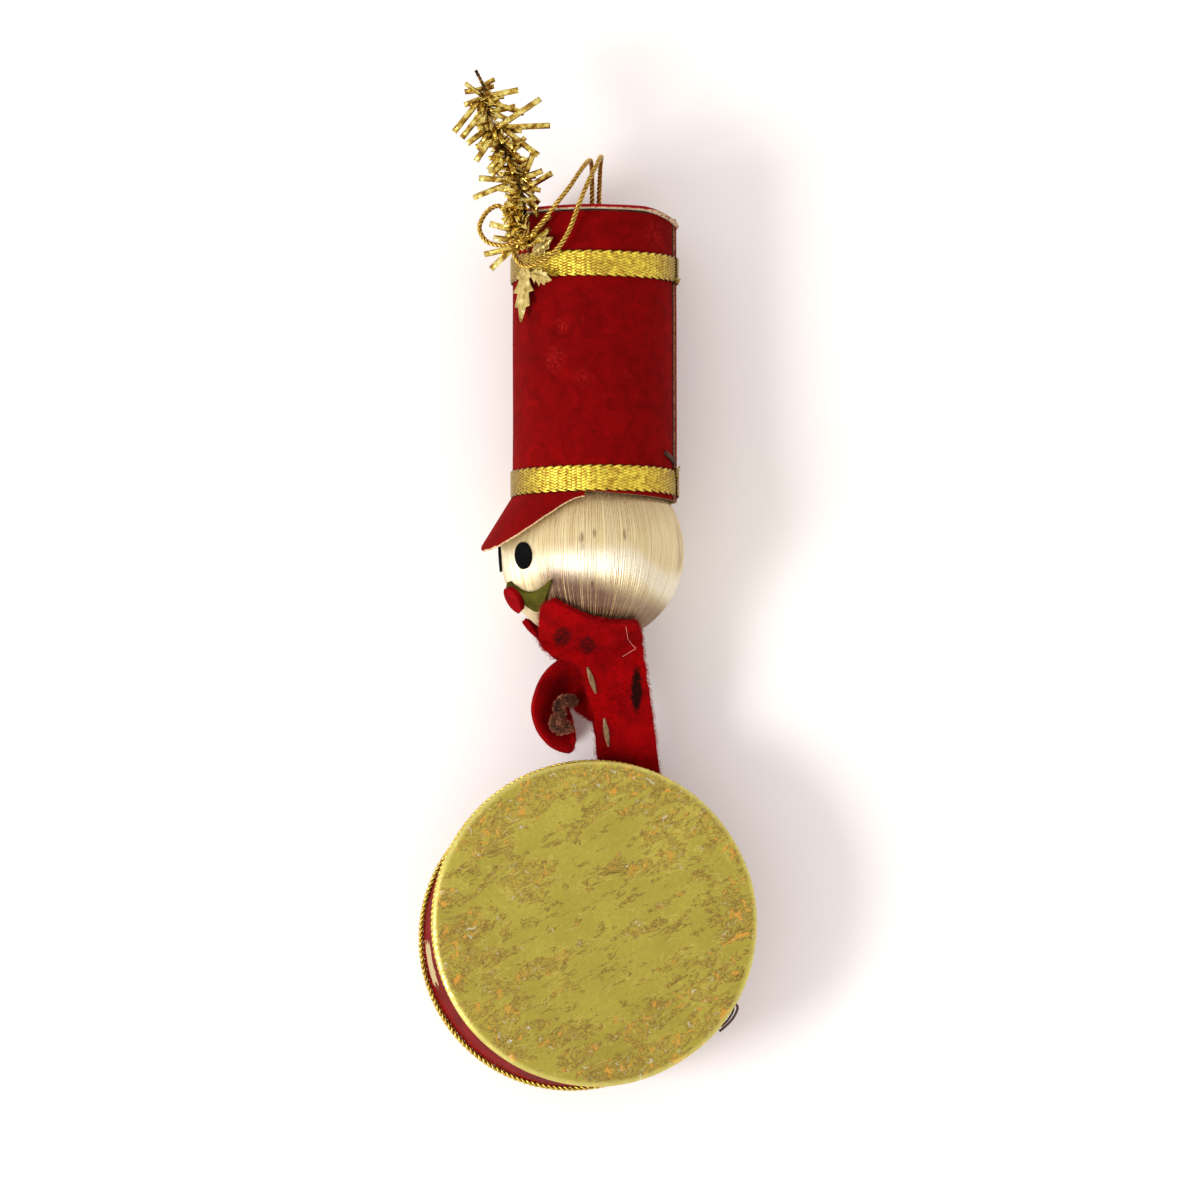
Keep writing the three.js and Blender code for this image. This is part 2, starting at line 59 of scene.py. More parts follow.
def mm(*lengths):
    """Millimetres to metres: one number gives a number, and three give a vector."""
    if len(lengths) == 1:
        return lengths[0] * 0.001
    return Vector(lengths) * 0.001


# %% [markdown]
# The camera looks down from 1.4 m, a little from the soldier's drum and from the side that the face
# looks to. A long lens that far away is what keeps the drum's front as round as it is in a photograph.

# %% Place the camera
aim = mm(5.512, 70.137, 19)
eye = mm(-67.759, 9.070, 1415.747)
lens_length = 203.39

view_line = (aim - eye).normalized()
view_right = view_line.cross(Vector((0, 1, 0))).normalized()
view_up = view_right.cross(view_line)
camera = bpy.data.objects.new("camera", bpy.data.cameras.new("camera"))
camera.data.lens = lens_length
camera.data.sensor_width = 36
camera.data.clip_end = 20
camera.matrix_world = (
    Matrix.Translation(eye) @ Matrix((view_right, view_up, -view_line)).transposed().to_4x4()
)
bpy.context.scene.collection.objects.link(camera)
bpy.context.scene.camera = camera
print("camera distance:", round((aim - eye).length, 3))

# %% [markdown]
# Shader maths reads best as ordinary maths. Value wraps one socket of a node, and each operator adds the
# Math node that it stands for. Finish holds one material, and its node() method makes every other node.

# %% A small language for materials
def operator(operation, reflected=False):
    """A method that adds one Math node. The reflected form is for a plain number on the left."""

    def method(self, *others):
        values = (*others, self) if reflected else (self, *others)
        return self.finish.node("ShaderNodeMath", {"operation": operation}, dict(enumerate(values)))

    return method


class Value:
    """One socket of a material's node tree. Operators on it add Math nodes."""

    __add__ = operator("ADD")
    __radd__ = operator("ADD", reflected=True)
    __sub__ = operator("SUBTRACT")
    __rsub__ = operator("SUBTRACT", reflected=True)
    __mul__ = operator("MULTIPLY")
    __rmul__ = operator("MULTIPLY", reflected=True)
    __abs__ = operator("ABSOLUTE")
    least = operator("MINIMUM")
    most = operator("MAXIMUM")
    turn_from = operator("ARCTAN2")

    def __init__(self, finish, socket):
        self.finish = finish
        self.socket = socket

    def step(self, low, high):
        """0 below low, 1 above high, and a smooth rise between them."""
        settings = {"interpolation_type": "SMOOTHSTEP"}
        sockets = {"Value": self, "From Min": low, "From Max": high}
        return self.finish.node("ShaderNodeMapRange", settings, sockets)


def srgb(red, green, blue):
    """A colour as a screen shows it, 0 to 255, turned into the light that Blender works with."""
    channels = [c / 255 for c in (red, green, blue)]
    return [c / 12.92 if c < 0.04 else ((c + 0.055) / 1.055) ** 2.4 for c in channels] + [1]


class Finish:
    """One material with a Principled shader."""

    def __init__(self, name, **constants):
        self.material = bpy.data.materials.new(name)
        self.material.use_nodes = True
        self.tree = self.material.node_tree
        self.tree.nodes.clear()
        self.shader = self.tree.nodes.new("ShaderNodeBsdfPrincipled")
        output = self.tree.nodes.new("ShaderNodeOutputMaterial")
        self.tree.links.new(self.shader.outputs[0], output.inputs["Surface"])
        for socket, value in constants.items():
            self.shader.inputs[socket.replace("_", " ")].default_value = value

    def node(self, kind, settings=None, sockets=None, output=0):
        """Adds a node: its settings first, then the values or links of its sockets."""
        made = self.tree.nodes.new(kind)
        for setting, value in (settings or {}).items():
            if setting == "stops":
                self.set_stops(made.color_ramp, value)
            else:
                setattr(made, setting, value)
        for socket, value in (sockets or {}).items():
            if isinstance(value, Value):
                self.tree.links.new(value.socket, made.inputs[socket])
            else:
                made.inputs[socket].default_value = value
        return Value(self, made.outputs[output])

    def set_stops(self, ramp, stops):
        while len(ramp.elements) < len(stops):
            ramp.elements.new(0.5)
        for element, (position, colour) in zip(ramp.elements, stops):
            element.position = position
            element.color = colour

    def place(self, centre=(0, 0, 0), turn=(0, 0, 0), stretch=(1, 1, 1)):
        """Object coordinates in millimetres from a centre, along turned axes, each of them stretched."""
        sockets = {
            "Vector": self.node("ShaderNodeTexCoord", output="Object"),
            "Location": mm(*centre),
            "Rotation": turn,
            "Scale": mm(*stretch),
        }
        return self.node("ShaderNodeMapping", {"vector_type": "TEXTURE"}, sockets)

    def stored(self, name):
        """A number that the mesh keeps for each of its points."""
        return self.node("ShaderNodeAttribute", {"attribute_name": name}, output="Fac")

    def split(self, vector):
        return [self.node("ShaderNodeSeparateXYZ", sockets={0: vector}, output=k) for k in range(3)]

    def join(self, *parts):
        return self.node("ShaderNodeCombineXYZ", sockets=dict(enumerate(parts)))

    def grain(self, place, size, detail=3, roughness=0.55, warp=0.0):
        """Noise between 0 and 1 whose lumps are about size millimetres wide."""
        sockets = {"Vector": place, "Scale": 1 / size, "Detail": detail}
        sockets |= {"Roughness": roughness, "Distortion": warp}
        return self.node("ShaderNodeTexNoise", sockets=sockets)

    def distance(self, place, centre):
        settings = {"operation": "DISTANCE"}
        return self.node("ShaderNodeVectorMath", settings, {0: place, 1: centre}, "Value")

    def spot(self, place, centre, radius, softness=0.5):
        """1 inside a round spot and 0 outside it. The centre and radius are in millimetres."""
        away = self.distance(place, centre)
        return 1 - away.step(radius * (1 - softness), radius * (1 + softness))

    def mix(self, first, second, mask):
        settings = {"data_type": "RGBA"}
        return self.node("ShaderNodeMix", settings, {0: mask, 6: first, 7: second}, 2)

    def give(self, socket, value):
        self.tree.links.new(value.socket, self.shader.inputs[socket])

    def bump(self, height, depth, strength=1.0):
        """Lets height, 0 to 1, raise the surface by up to depth millimetres."""
        sockets = {"Height": height, "Distance": mm(depth), "Strength": strength}
        self.give("Normal", self.node("ShaderNodeBump", sockets=sockets))


def two_tone(name, dark, light, size, detail=3, steps=(0.35, 0.65), **constants):
    """A finish whose colour wanders between two tones, in lumps of about size millimetres."""
    finish = Finish(name, **constants)
    tone = finish.grain(finish.place(), size, detail)
    finish.give("Base Color", finish.mix(dark, light, tone.step(*steps) if steps else tone))
    return finish


print("materials are written as maths")

# %% [markdown]
# Three ways of making pieces serve the whole ornament. Threads of every kind are curves with a round
# section, turned into one mesh. Sheets of card, felt and foil start as a flat grid whose corners are
# moved to the sheet's real place. A finished piece keeps its object at the origin.

# %% Helpers for pieces
def add_piece(name, mesh, *finishes, slot, replaces=()):
    piece = bpy.data.objects.new(name, mesh)
    bpy.context.scene.collection.objects.link(piece)
    for finish in finishes:
        mesh.materials.append(finish.material)
    mesh.polygons.foreach_set("use_smooth", [True] * len(mesh.polygons))
    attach(piece, "root")
    if replaces:
        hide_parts(*replaces)
    return piece


def mesh_from(form, name):
    mesh = bpy.data.meshes.new(name)
    form.to_mesh(mesh)
    form.free()
    return mesh


def baked_mesh(thing, name):
    """The mesh that an object shows once its modifiers have run."""
    seen = thing.evaluated_get(bpy.context.evaluated_depsgraph_get())
    mesh = bpy.data.meshes.new_from_object(seen)
    mesh.name = name
    return mesh


def thread_mesh(name, paths, radius, sides=6, swell=None):
    """Round threads along lists of points, as one mesh. swell(share) scales them along their length."""
    curve = bpy.data.curves.new(name, "CURVE")
    curve.dimensions = "3D"
    curve.bevel_depth = radius
    curve.bevel_resolution = max(0, sides // 2 - 2)
    curve.use_fill_caps = True
    for path in paths:
        spline = curve.splines.new("POLY")
        spline.points.add(len(path) - 1)
        for k, point in enumerate(path):
            spline.points[k].co = (*point, 1)
            if swell:
                spline.points[k].radius = swell(k / (len(path) - 1))
    holder = bpy.data.objects.new(name, curve)
    bpy.context.scene.collection.objects.link(holder)
    mesh = baked_mesh(holder, name)
    bpy.data.objects.remove(holder)
    bpy.data.curves.remove(curve)
    return mesh


def sheet_mesh(name, surface, across, along, closed=False):
    """A flat grid whose corner at (u, v), both 0 to 1, moves to surface(u, v). A closed one joins up."""
    form = bmesh.new()
    form.loops.layers.uv.new("UVMap")
    bmesh.ops.create_grid(form, x_segments=across, y_segments=along, size=0.5, calc_uvs=True)
    for corner in form.verts:
        corner.co = surface(corner.co.x + 0.5, corner.co.y + 0.5)
    if closed:
        bmesh.ops.remove_doubles(form, verts=form.verts, dist=1e-6)
    return mesh_from(form, name)


def add_rounding(piece, width, steps):
    soft = piece.modifiers.new("rounding", "BEVEL")
    soft.width = width
    soft.segments = steps
    soft.limit_method = "ANGLE"
    soft.angle_limit = math.radians(50)
    return soft


def thicken(piece, thickness, rim=0, inside=0, rounding=0.0, steps=2):
    """Gives a sheet its thickness. rim and inside say how far down the list their finishes are."""
    solid = piece.modifiers.new("thickness", "SOLIDIFY")
    solid.thickness = thickness
    solid.offset = 0
    solid.material_offset_rim = rim
    solid.material_offset = inside
    if rounding:
        add_rounding(piece, rounding, steps).material = -1


def add_sheet(name, node, slot, finishes, surface, grid, wall, closed=False, **edges):
    """A thick sheet in place of a node. grid says how many faces it has each way."""
    mesh = sheet_mesh(name, surface, *grid, closed)
    thicken(add_piece(name, mesh, *finishes, slot=slot, replaces=[node]), wall, **edges)


def smooth_route(points, steps):
    """Points on a smooth curve through the given ones, evenly many between each two."""
    route = []
    ends = [2 * points[0] - points[1], *points, 2 * points[-1] - points[-2]]
    for before, start, end, after in zip(ends, ends[1:], ends[2:], ends[3:]):
        bend = 2 * before - 5 * start + 4 * end - after
        snap = 3 * start - 3 * end + after - before
        for t in (k / steps for k in range(steps)):
            route.append(0.5 * (2 * start + (end - before) * t + bend * t**2 + snap * t**3))
    route.append(points[-1].copy())
    return route


def route_through(points, steps):
    """The same, through points that are given in millimetres."""
    return smooth_route([mm(*point) for point in points], steps)


def keep_lift(mesh, values):
    mesh.attributes.new("lift", "FLOAT", "POINT").data.foreach_set("value", values)


def store_lift(mesh, line, reach):
    """Keeps how far each point stands out from a centreline: 0 on it, and 1 at reach."""
    tree = kdtree.KDTree(len(line))
    for k, point in enumerate(line):
        tree.insert(point, k)
    tree.balance()
    keep_lift(mesh, [tree.find(corner.co)[2] / reach for corner in mesh.vertices])


def route_length(route):
    return sum((b - a).length for a, b in zip(route, route[1:]))


def twisted(route, strands, offset, pitch, closed=False):
    """Paths of strands that wind around a route like the plies of a cord."""
    total = route_length(route) + ((route[0] - route[-1]).length if closed else 0)
    turns = round(total / pitch) if closed else total / pitch
    side = (route[1] - route[0]).orthogonal().normalized()
    paths = [[] for _ in range(strands)]
    gone = 0
    count = len(route)
    for k, point in enumerate(route):
        before = route[k - 1] if (k or closed) else point
        after = route[(k + 1) % count] if (k < count - 1 or closed) else point
        ahead = (after - before).normalized()
        side = (side - ahead * side.dot(ahead)).normalized()
        up = ahead.cross(side)
        for strand, path in enumerate(paths):
            angle = math.tau * (turns * gone / total + strand / strands)
            path.append(point + offset * (side * math.cos(angle) + up * math.sin(angle)))
        if k < count - 1:
            gone += (route[k + 1] - point).length
    if closed:
        for path in paths:
            path.append(path[0])
    return paths


print("helpers are ready")

# %% [markdown]
# Gold thread is a fine strip of foil wound on a core. It shines where it faces the light, and a painted
# shade makes it brown in the gaps between strands, so each mesh of it keeps a number called lift, which
# is low in its gaps. The colour also wanders from thread to thread, a painted shade darkens the braids
# towards the hat's sides, and a fine ribbing breaks the shine into glints.

# %% Gold thread
no_side_shade = (179, 180)


def gold_thread(name, bright, dark, gap_shade, size, side_shade=no_side_shade):
    """A painted shade darkens it beyond the first angle, in degrees from straight up around Y, and fully at
    the second.
    """
    finish = Finish(name, Metallic=0.85)
    place = finish.place()
    wander = finish.grain(place, size, 4).step(0.32, 0.66)
    tarnish = finish.grain(place, 7.0, 3).step(0.5, 0.75)
    colour = finish.mix(dark, bright, wander)
    colour = finish.mix(colour, srgb(150, 100, 40), tarnish * 0.4)
    # Painted shade: the braid is darker towards the hat's sides, beyond the given angles.
    x, y, z = finish.split(finish.place(centre=(4.3, 0, 19)))
    limb = abs(x.turn_from(z)).step(*[math.radians(angle) for angle in side_shade])
    colour = finish.mix(colour, srgb(118, 84, 34), limb * 0.72)
    # Painted shade: brown in the gaps between strands, where lift is low.
    colour = finish.mix(srgb(70, 40, 12), colour, finish.stored("lift").step(*gap_shade))
    finish.give("Base Color", colour)
    finish.give("Roughness", 0.22 + 0.22 * finish.grain(place, 0.9, 2))
    finish.bump(finish.grain(place, 0.22, 2), 0.03, 0.8)
    return finish


braid_gold = gold_thread("braid_gold", srgb(255, 234, 88), srgb(196, 154, 48), (0.42, 0.92), 1.0, (25, 75))
cord_gold = gold_thread("cord_gold", srgb(238, 198, 88), srgb(150, 104, 40), (0.62, 0.95), 0.35)
trim_gold = gold_thread("trim_gold", srgb(240, 212, 92), srgb(168, 134, 54), (0.3, 0.8), 0.4)

# %% [markdown]
# The hanging cord is one loop. Both of its ends go down the hole in the hat's top. From there it rises,
# bends over the hat's edge, lies down the front of the hat and makes a small ring beside the plume. The
# route is the same list of points as in the solid model. Three plies wound round that route make the
# cord, because the real one shows its twist as slanted dashes.

# %% The hanging cord
cord_thickness = mm(1.1)
cord_route = [
    mm(*point)
    for point in (
        (3.95, 147, 17.6), (3.95, 150, 17.7), (3.9, 153.1, 18.2), (3.8, 156.2, 20), (3.5, 159.2, 23.8),
        (2.9, 160.2, 28.5), (1.2, 158.2, 33), (-1.5, 154.1, 36), (-4.6, 150.1, 36.1), (-7.5, 146.4, 34.2),
        (-10, 143.9, 33.6), (-12.8, 142.7, 32.6), (-15.6, 142.4, 31.2), (-18.4, 143.4, 29.6),
        (-19.8, 146.2, 28.6), (-18.4, 149.3, 28.4), (-16, 150.7, 28.8), (-13.9, 149, 29.2),
        (-13, 145.6, 29.8), (-12.9, 142.5, 30.4), (-12.5, 140, 30.8), (-10.9, 138.1, 32),
        (-8.4, 138.3, 34), (-5.6, 139.8, 35.9), (-3.2, 142.4, 36.4), (-1.5, 145.5, 36.4),
        (-0.1, 149.3, 37.1), (1.8, 154.1, 36.8), (3.9, 158.4, 34), (5.2, 160.9, 29), (5.3, 159.4, 23.8),
        (5.35, 156.3, 20), (5.35, 153.1, 18.2), (5.35, 150, 17.7), (5.35, 147, 17.6),
    )
]
cord_line = smooth_route(cord_route, 9)
plies = twisted(cord_line, 3, cord_thickness * 0.27, mm(2.9))
cord_mesh = thread_mesh("hanging_cord_twisted", plies, cord_thickness * 0.235, 8)
store_lift(cord_mesh, cord_line, cord_thickness / 2)
cord = add_piece("hanging_cord_twisted", cord_mesh, cord_gold, slot="gold_thread", replaces=["hanging_cord"])
cord_length = round(route_length(cord_line), 4)
print("cord length:", cord_length)

# %% [markdown]
# The ornament lies on a pale table. One soft panel stands to its left and a little below it in the
# picture, halfway up: the bright arc on the silk ball bends down at the right, and only a light from
# there does that. It also throws the shadows to the right. The rest of the light comes from warm, pale
# surroundings, and they are what the flat foil of the drum mirrors.

# %% Table and light
ball_low, ball_high = [Vector(corner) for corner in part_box("head_ball")]
ball_centre = (ball_low + ball_high) / 2
ball_radius = (ball_high.z - ball_low.z) / 2

table_form = bmesh.new()
bmesh.ops.create_grid(table_form, x_segments=1, y_segments=1, size=3)
table = bpy.data.objects.new("table", mesh_from(table_form, "table"))
bpy.context.scene.collection.objects.link(table)
table_finish = two_tone(
    "table_finish", srgb(250, 246, 245), srgb(254, 251, 250), 60, 2, steps=None, Roughness=0.9
)
table.data.materials.append(table_finish.material)

panel = bpy.data.lights.new("left_panel", "AREA")
panel.shape = "SQUARE"
panel.size = 0.3
panel.energy = 5.0
panel_holder = bpy.data.objects.new("left_panel", panel)
panel_holder.location = ball_centre + Vector((-0.70, -0.29, 0.64)) * 0.9
panel_holder.rotation_euler = (aim - panel_holder.location).to_track_quat("-Z", "Y").to_euler()
bpy.context.scene.collection.objects.link(panel_holder)

world = bpy.data.worlds.new("surroundings")
world.use_nodes = True
surroundings = world.node_tree.nodes["Background"]
surroundings.inputs["Color"].default_value = (0.98, 0.94, 0.91, 1)
surroundings.inputs["Strength"].default_value = 0.97
bpy.context.scene.world = world
bpy.context.scene.view_settings.view_transform = "Standard"
print("table and light are in place")

# %% [markdown]
# The head is a foam ball wound with satin thread from pole to pole, with the poles under the hat and the
# collar. Threads along one direction spread the shine across themselves, so the ball shows one bright
# arc. Real threads do that best: a few hundred of them lie side by side over a smooth core, each one a
# little higher or more slanted than the next, and all of them thinner towards the poles. A pale band
# round the middle is a painted highlight along that arc, the silk is darker towards the hat, and by the
# collar it has painted shade with a painted reflection of the red felt.

# %% The wound ball
def raw_card(name, light, dark):
    """The cut edge of card or velvet paper: pale and ragged."""
    finish = two_tone(name, dark, light, 0.5, 4, Roughness=0.9)
    finish.bump(finish.grain(finish.place(), 0.25, 3), 0.08)
    return finish


# Each stain: its azimuth in degrees, its height and size in millimetres, and its strength.
silk_stains = (
    (9.7, 2.1, 0.45, 0.8), (1.5, 3.0, 0.35, 0.7), (-18, 2.8, 0.45, 0.8), (9, 0.1, 0.3, 0.5),
    (3, -7.4, 0.28, 0.9), (41, -1.6, 0.4, 0.4), (-70, 0.5, 2.0, 0.45),
)


def on_ball(azimuth, elevation, radius=1.0):
    """A direction from the ball's centre: azimuth from straight up to the face, elevation to the hat."""
    turn = math.radians(azimuth)
    lift = math.radians(elevation)
    flat = math.cos(lift)
    return Vector((-math.sin(turn) * flat, math.sin(lift), math.cos(turn) * flat)) * radius


def silk():
    finish = Finish("ivory_silk", Metallic=0.55, IOR=1.8, Specular_IOR_Level=1.0)
    x, y, z = finish.split(finish.place(centre=ball_centre * 1000))
    around = x.turn_from(z) * (ball_radius * 1000)
    fine = finish.grain(finish.join(around, y * 0.03, 0), 0.45, 3, 0.7)
    coarse = finish.grain(finish.join(around, y * 0.05, 0), 2.2, 3)
    stray = finish.grain(finish.join(around, y * 0.09, 5), 0.8, 3)
    colour = finish.mix(srgb(226, 204, 150), srgb(246, 230, 184), fine.step(0.3, 0.7))
    colour = finish.mix(colour, srgb(206, 174, 120), coarse.step(0.48, 0.8) * 0.5)
    colour = finish.mix(colour, srgb(170, 128, 80), stray.step(0.62, 0.78) * 0.6)
    spots_place = finish.join(around, y * 0.4, 0)
    for azimuth, height, size, strength in silk_stains:
        middle = (-math.radians(azimuth) * ball_radius * 1000, height * 0.4, 0)
        stain_and_shade = finish.spot(spots_place, middle, size, 0.5)
        colour = finish.mix(colour, srgb(112, 66, 26), stain_and_shade * stray.step(0.3, 0.55) * strength)
    # Painted shade with a painted reflection of the red felt, by the collar.
    felt_reflection_and_shade = (0 - y - x * 0.3).step(4, 9.5) * x.step(-14, -8) * (1 - x.step(1, 9) * 0.22)
    # Painted highlight: a pale band along the bright arc.
    painted_highlight_band = 1 - abs(y + 2.8 + x.step(6, 16) * 5).step(1, 4.6)
    colour = finish.mix(colour, srgb(255, 248, 230), painted_highlight_band * (0.3 + 0.35 * x.step(-12, -5)))
    # Darker towards the hat.
    colour = finish.mix(colour, srgb(204, 176, 128), y.step(2, 11) * 0.75)
    colour = finish.mix(colour, srgb(104, 46, 26), felt_reflection_and_shade * 0.93)
    finish.give("Base Color", colour)
    finish.give("Roughness", 0.24 + 0.1 * coarse)
    return finish


thread_count = 620
thread_radius = mm(0.115)
thread_end = 86
silk_threads = []
for k in range(thread_count):
    azimuth = 360 * (k + random.uniform(-0.3, 0.3)) / thread_count
    slant = random.uniform(-1.2, 1.2)
    out = ball_radius - (thread_radius + mm(random.uniform(0, 0.05)))
    stops = [step / 15 for step in range(-15, 16)]
    silk_threads.append([ball_centre + on_ball(azimuth + slant * s, thread_end * s, out) for s in stops])


def pole_thinning(share):
    return math.cos(math.radians(thread_end * (2 * share - 1))) ** 0.8


ball_mesh = thread_mesh("wound_ball", silk_threads, thread_radius, 4, pole_thinning)
ball = add_piece("wound_ball", ball_mesh, silk(), slot="satin", replaces=["head_ball"])
core_finish = raw_card("ball_core", srgb(206, 180, 130), srgb(170, 140, 94))
core_form = bmesh.new()
core_size = {"u_segments": 96, "v_segments": 48, "radius": ball_radius - mm(0.15)}
bmesh.ops.create_uvsphere(core_form, **core_size, matrix=Matrix.Translation(ball_centre))
add_piece("ball_core", mesh_from(core_form, "ball_core"), core_finish, slot="satin")
print("ball triangles:", 2 * len(ball.data.polygons))

# %% [markdown]
# Felt is a mat of fibres. Its colour is uneven at the size of a fibre and again at the size of a fold,
# it has a soft sheen, and its cut edge is furry. The sheets get their thickness and rounded edges from
# modifiers. Loose fibres come later, as thin threads along the edges.

# %% Felt, velvet paper and raw card
def felt(name, light, dark, stains_and_shade=()):
    """A stain or a painted shade has its place, how tall it is for its width, its size, colour, strength and
    solidity.
    """
    finish = Finish(name, Roughness=0.95, Sheen_Weight=0.05, Sheen_Roughness=0.6, Specular_IOR_Level=0.03)
    finish.shader.inputs["Sheen Tint"].default_value = light
    place = finish.place()
    matted = finish.grain(place, 0.5, 5, 0.7, 0.6)
    patches = finish.grain(place, 4.0, 3)
    colour = finish.mix(dark, light, (matted * 0.6 + patches * 0.6).step(0.38, 0.8))
    x, y, z = finish.split(place)
    for (spot_x, spot_y), tall, spot_size, spot_colour, strength, solid in stains_and_shade:
        edge = finish.grain(place, 0.8, 5, 0.75)
        flat_place = finish.join(x + edge * 3 - 1.5, spot_y + (y - spot_y) * (1 / tall), 0)
        stain_and_shade = finish.spot(flat_place, (spot_x, spot_y, 0), spot_size, 0.25)
        stain_and_shade *= edge.step(0.36 - solid, 0.5 - solid)
        colour = finish.mix(colour, spot_colour, stain_and_shade * strength)
    finish.give("Base Color", colour)
    finish.bump(matted, 0.22, 0.7)
    return finish


def velvet_paper():
    """Short flock on paper: deep red, paler where it is rubbed, and brushed in soft patches."""
    finish = Finish("velvet_paper", Roughness=0.9, Specular_IOR_Level=0.04, Sheen_Weight=0.08)
    finish.shader.inputs["Sheen Tint"].default_value = srgb(225, 50, 40)
    place = finish.place()
    flock = finish.grain(place, 0.28, 4, 0.7)
    brushed = finish.grain(place, 3.6, 5, 0.65, 0.8)
    broad = finish.grain(place, 22.0, 2)
    colour = finish.mix(srgb(94, 2, 3), srgb(138, 4, 5), (brushed * 0.7 + broad * 0.3).step(0.25, 0.8))
    colour = finish.mix(colour, srgb(74, 2, 3), flock.step(0.5, 0.75) * 0.6)
    x, y, z = finish.split(finish.place(centre=ball_centre * 1000, turn=(-hat_droop, 0, 0)))
    from_seam = abs((x - hat_side_shift * 1000).turn_from(z) - (seam_azimuth - 0.025))
    seam_shade = (1 - from_seam.step(0.02, 0.06)) * (1 - y.step(68, 69))
    colour = finish.mix(colour, srgb(34, 3, 3), seam_shade * 0.85)
    for rub_place, rub_size, strength in velvet_rubs:
        ragged = finish.grain(place, 0.8, 4, 0.7).step(0.42, 0.7)
        rub = finish.spot(place, rub_place, rub_size, 0.8) * ragged
        colour = finish.mix(colour, srgb(176, 34, 30), rub * strength)
    finish.give("Base Color", colour)
    finish.bump(flock + 0.6 * brushed, 0.07, 0.7)
    return finish


# Each rub: its place and size in millimetres, and its strength.
velvet_rubs = (
    ((-2.7, 125.7, 33.3), 1.3, 0.55), ((-4.4, 118.9, 32.6), 2.0, 0.55), ((1.2, 115.0, 34.7), 1.5, 0.45),
    ((10.1, 115.8, 34.0), 0.8, 0.5), ((16.3, 144.9, 29.4), 2.4, 0.55),
)

# %% [markdown]
# The hat is a sheet of velvet card rolled into a tube. Its raw edge is lapped over at the back of the
# figure, where it shows as a thin brown line. The hat is tilted by about a degree, so that its upper
# braid touches the table. Every point of it is worked out along the hat's axis and then moved by one
# matrix.

# %% The hat's own frame
hat_radius = mm(16.8)
hat_wall = mm(0.7)
hat_length = mm(57.5)
hat_side_shift = mm(0.4)
hat_end_slope = math.tan(math.radians(1))
seam_azimuth = math.radians(74)
seam_arc = math.radians(50)
seam_step = mm(0.4)
braid_width = mm(5.6)
upper_braid_below_top = mm(7.7)
gap = mm(0.3)

hat_mouth = hat_radius - hat_wall - hat_side_shift
hat_rim = math.sqrt((ball_radius + gap) ** 2 - hat_mouth**2)
upper_braid_start = hat_rim + hat_length - upper_braid_below_top - braid_width
braid_outside = hat_radius + gap + mm(0.6)
hat_droop = math.asin((ball_radius - braid_outside) / (upper_braid_start + braid_width))
hat_place = Matrix.Translation(ball_centre) @ Matrix.Rotation(-hat_droop, 4, "X")


def lap(back):
    """How far the rolled card stands out at an angle past its seam."""
    return seam_step * max(0, 1 - back / seam_arc)


def on_hat(back, out, height):
    """A point at an angle back from the seam, out from the card's face, at a height up the hat."""
    radius = hat_radius + lap(-back % math.tau) + out
    turn = seam_azimuth - back
    return hat_place @ Vector((hat_side_shift + radius * math.sin(turn), height, radius * math.cos(turn)))


velvet = velvet_paper()
card_edge = raw_card("card_edge", srgb(224, 196, 150), srgb(176, 124, 84))
# The tube's cut edge is a darker brown copy of the card edge.
brown_card_edge = raw_card("brown_card_edge", srgb(164, 120, 84), srgb(104, 62, 42))
card_inside = raw_card("card_inside", srgb(206, 190, 162), srgb(178, 158, 128))


def hat_tube_surface(u, v):
    back = (1 - u) * (math.tau - 0.012)
    slip = mm(0.9) * max(0, math.sin(seam_azimuth - back)) * (1 - v) ** 8
    height = hat_rim + v * hat_length - slip
    point = on_hat(back, -hat_wall / 2, height)
    tilt = hat_end_slope * (hat_radius * math.cos(seam_azimuth - back)) * v
    dent = mm(0.12) * noise.noise(Vector((3 * math.cos(back), 3 * math.sin(back), height * 60)))
    return point + Vector((0, tilt, 0)) + (point - ball_centre).normalized() * dent


tube_finishes = (velvet, brown_card_edge, card_inside)
card_edges = {"rim": 1, "inside": 2, "rounding": mm(0.12)}
add_sheet(
    "rolled_hat", "hat_tube", "red_velvet",
    tube_finishes, hat_tube_surface, (220, 60), hat_wall, **card_edges,
)
print("hat tilts by", round(math.degrees(hat_droop), 2), "degrees")

# %% [markdown]
# A velvet disc closes the hat's end. It is a little wider than the tube and shows as a thin red line with
# its pale card edge under it. At the figure's back it has come loose and curls down. The disc is a ring
# between its rim and the cord's hole, made as a sheet in polar form, so its card edge is the rim.

# %% The disc on the hat's end
disc_radius = mm(17.4)
disc_thickness = mm(1.0)
cord_hole_radius = mm(1.75)


def hat_disc_surface(u, v):
    turn = -u * math.tau
    radius = cord_hole_radius + v * (disc_radius - cord_hole_radius)
    x = radius * math.sin(turn)
    z = radius * math.cos(turn)
    height = hat_rim + hat_length + gap + disc_thickness / 2 + hat_end_slope * z
    loose = max(0, math.sin(turn) - 0.55) / 0.45
    height -= mm(2.2) * loose**1.5 * v**6
    height += mm(0.12) * noise.noise(Vector((x * 130, z * 130, 4)))
    return hat_place @ Vector((hat_side_shift + x, height, z))


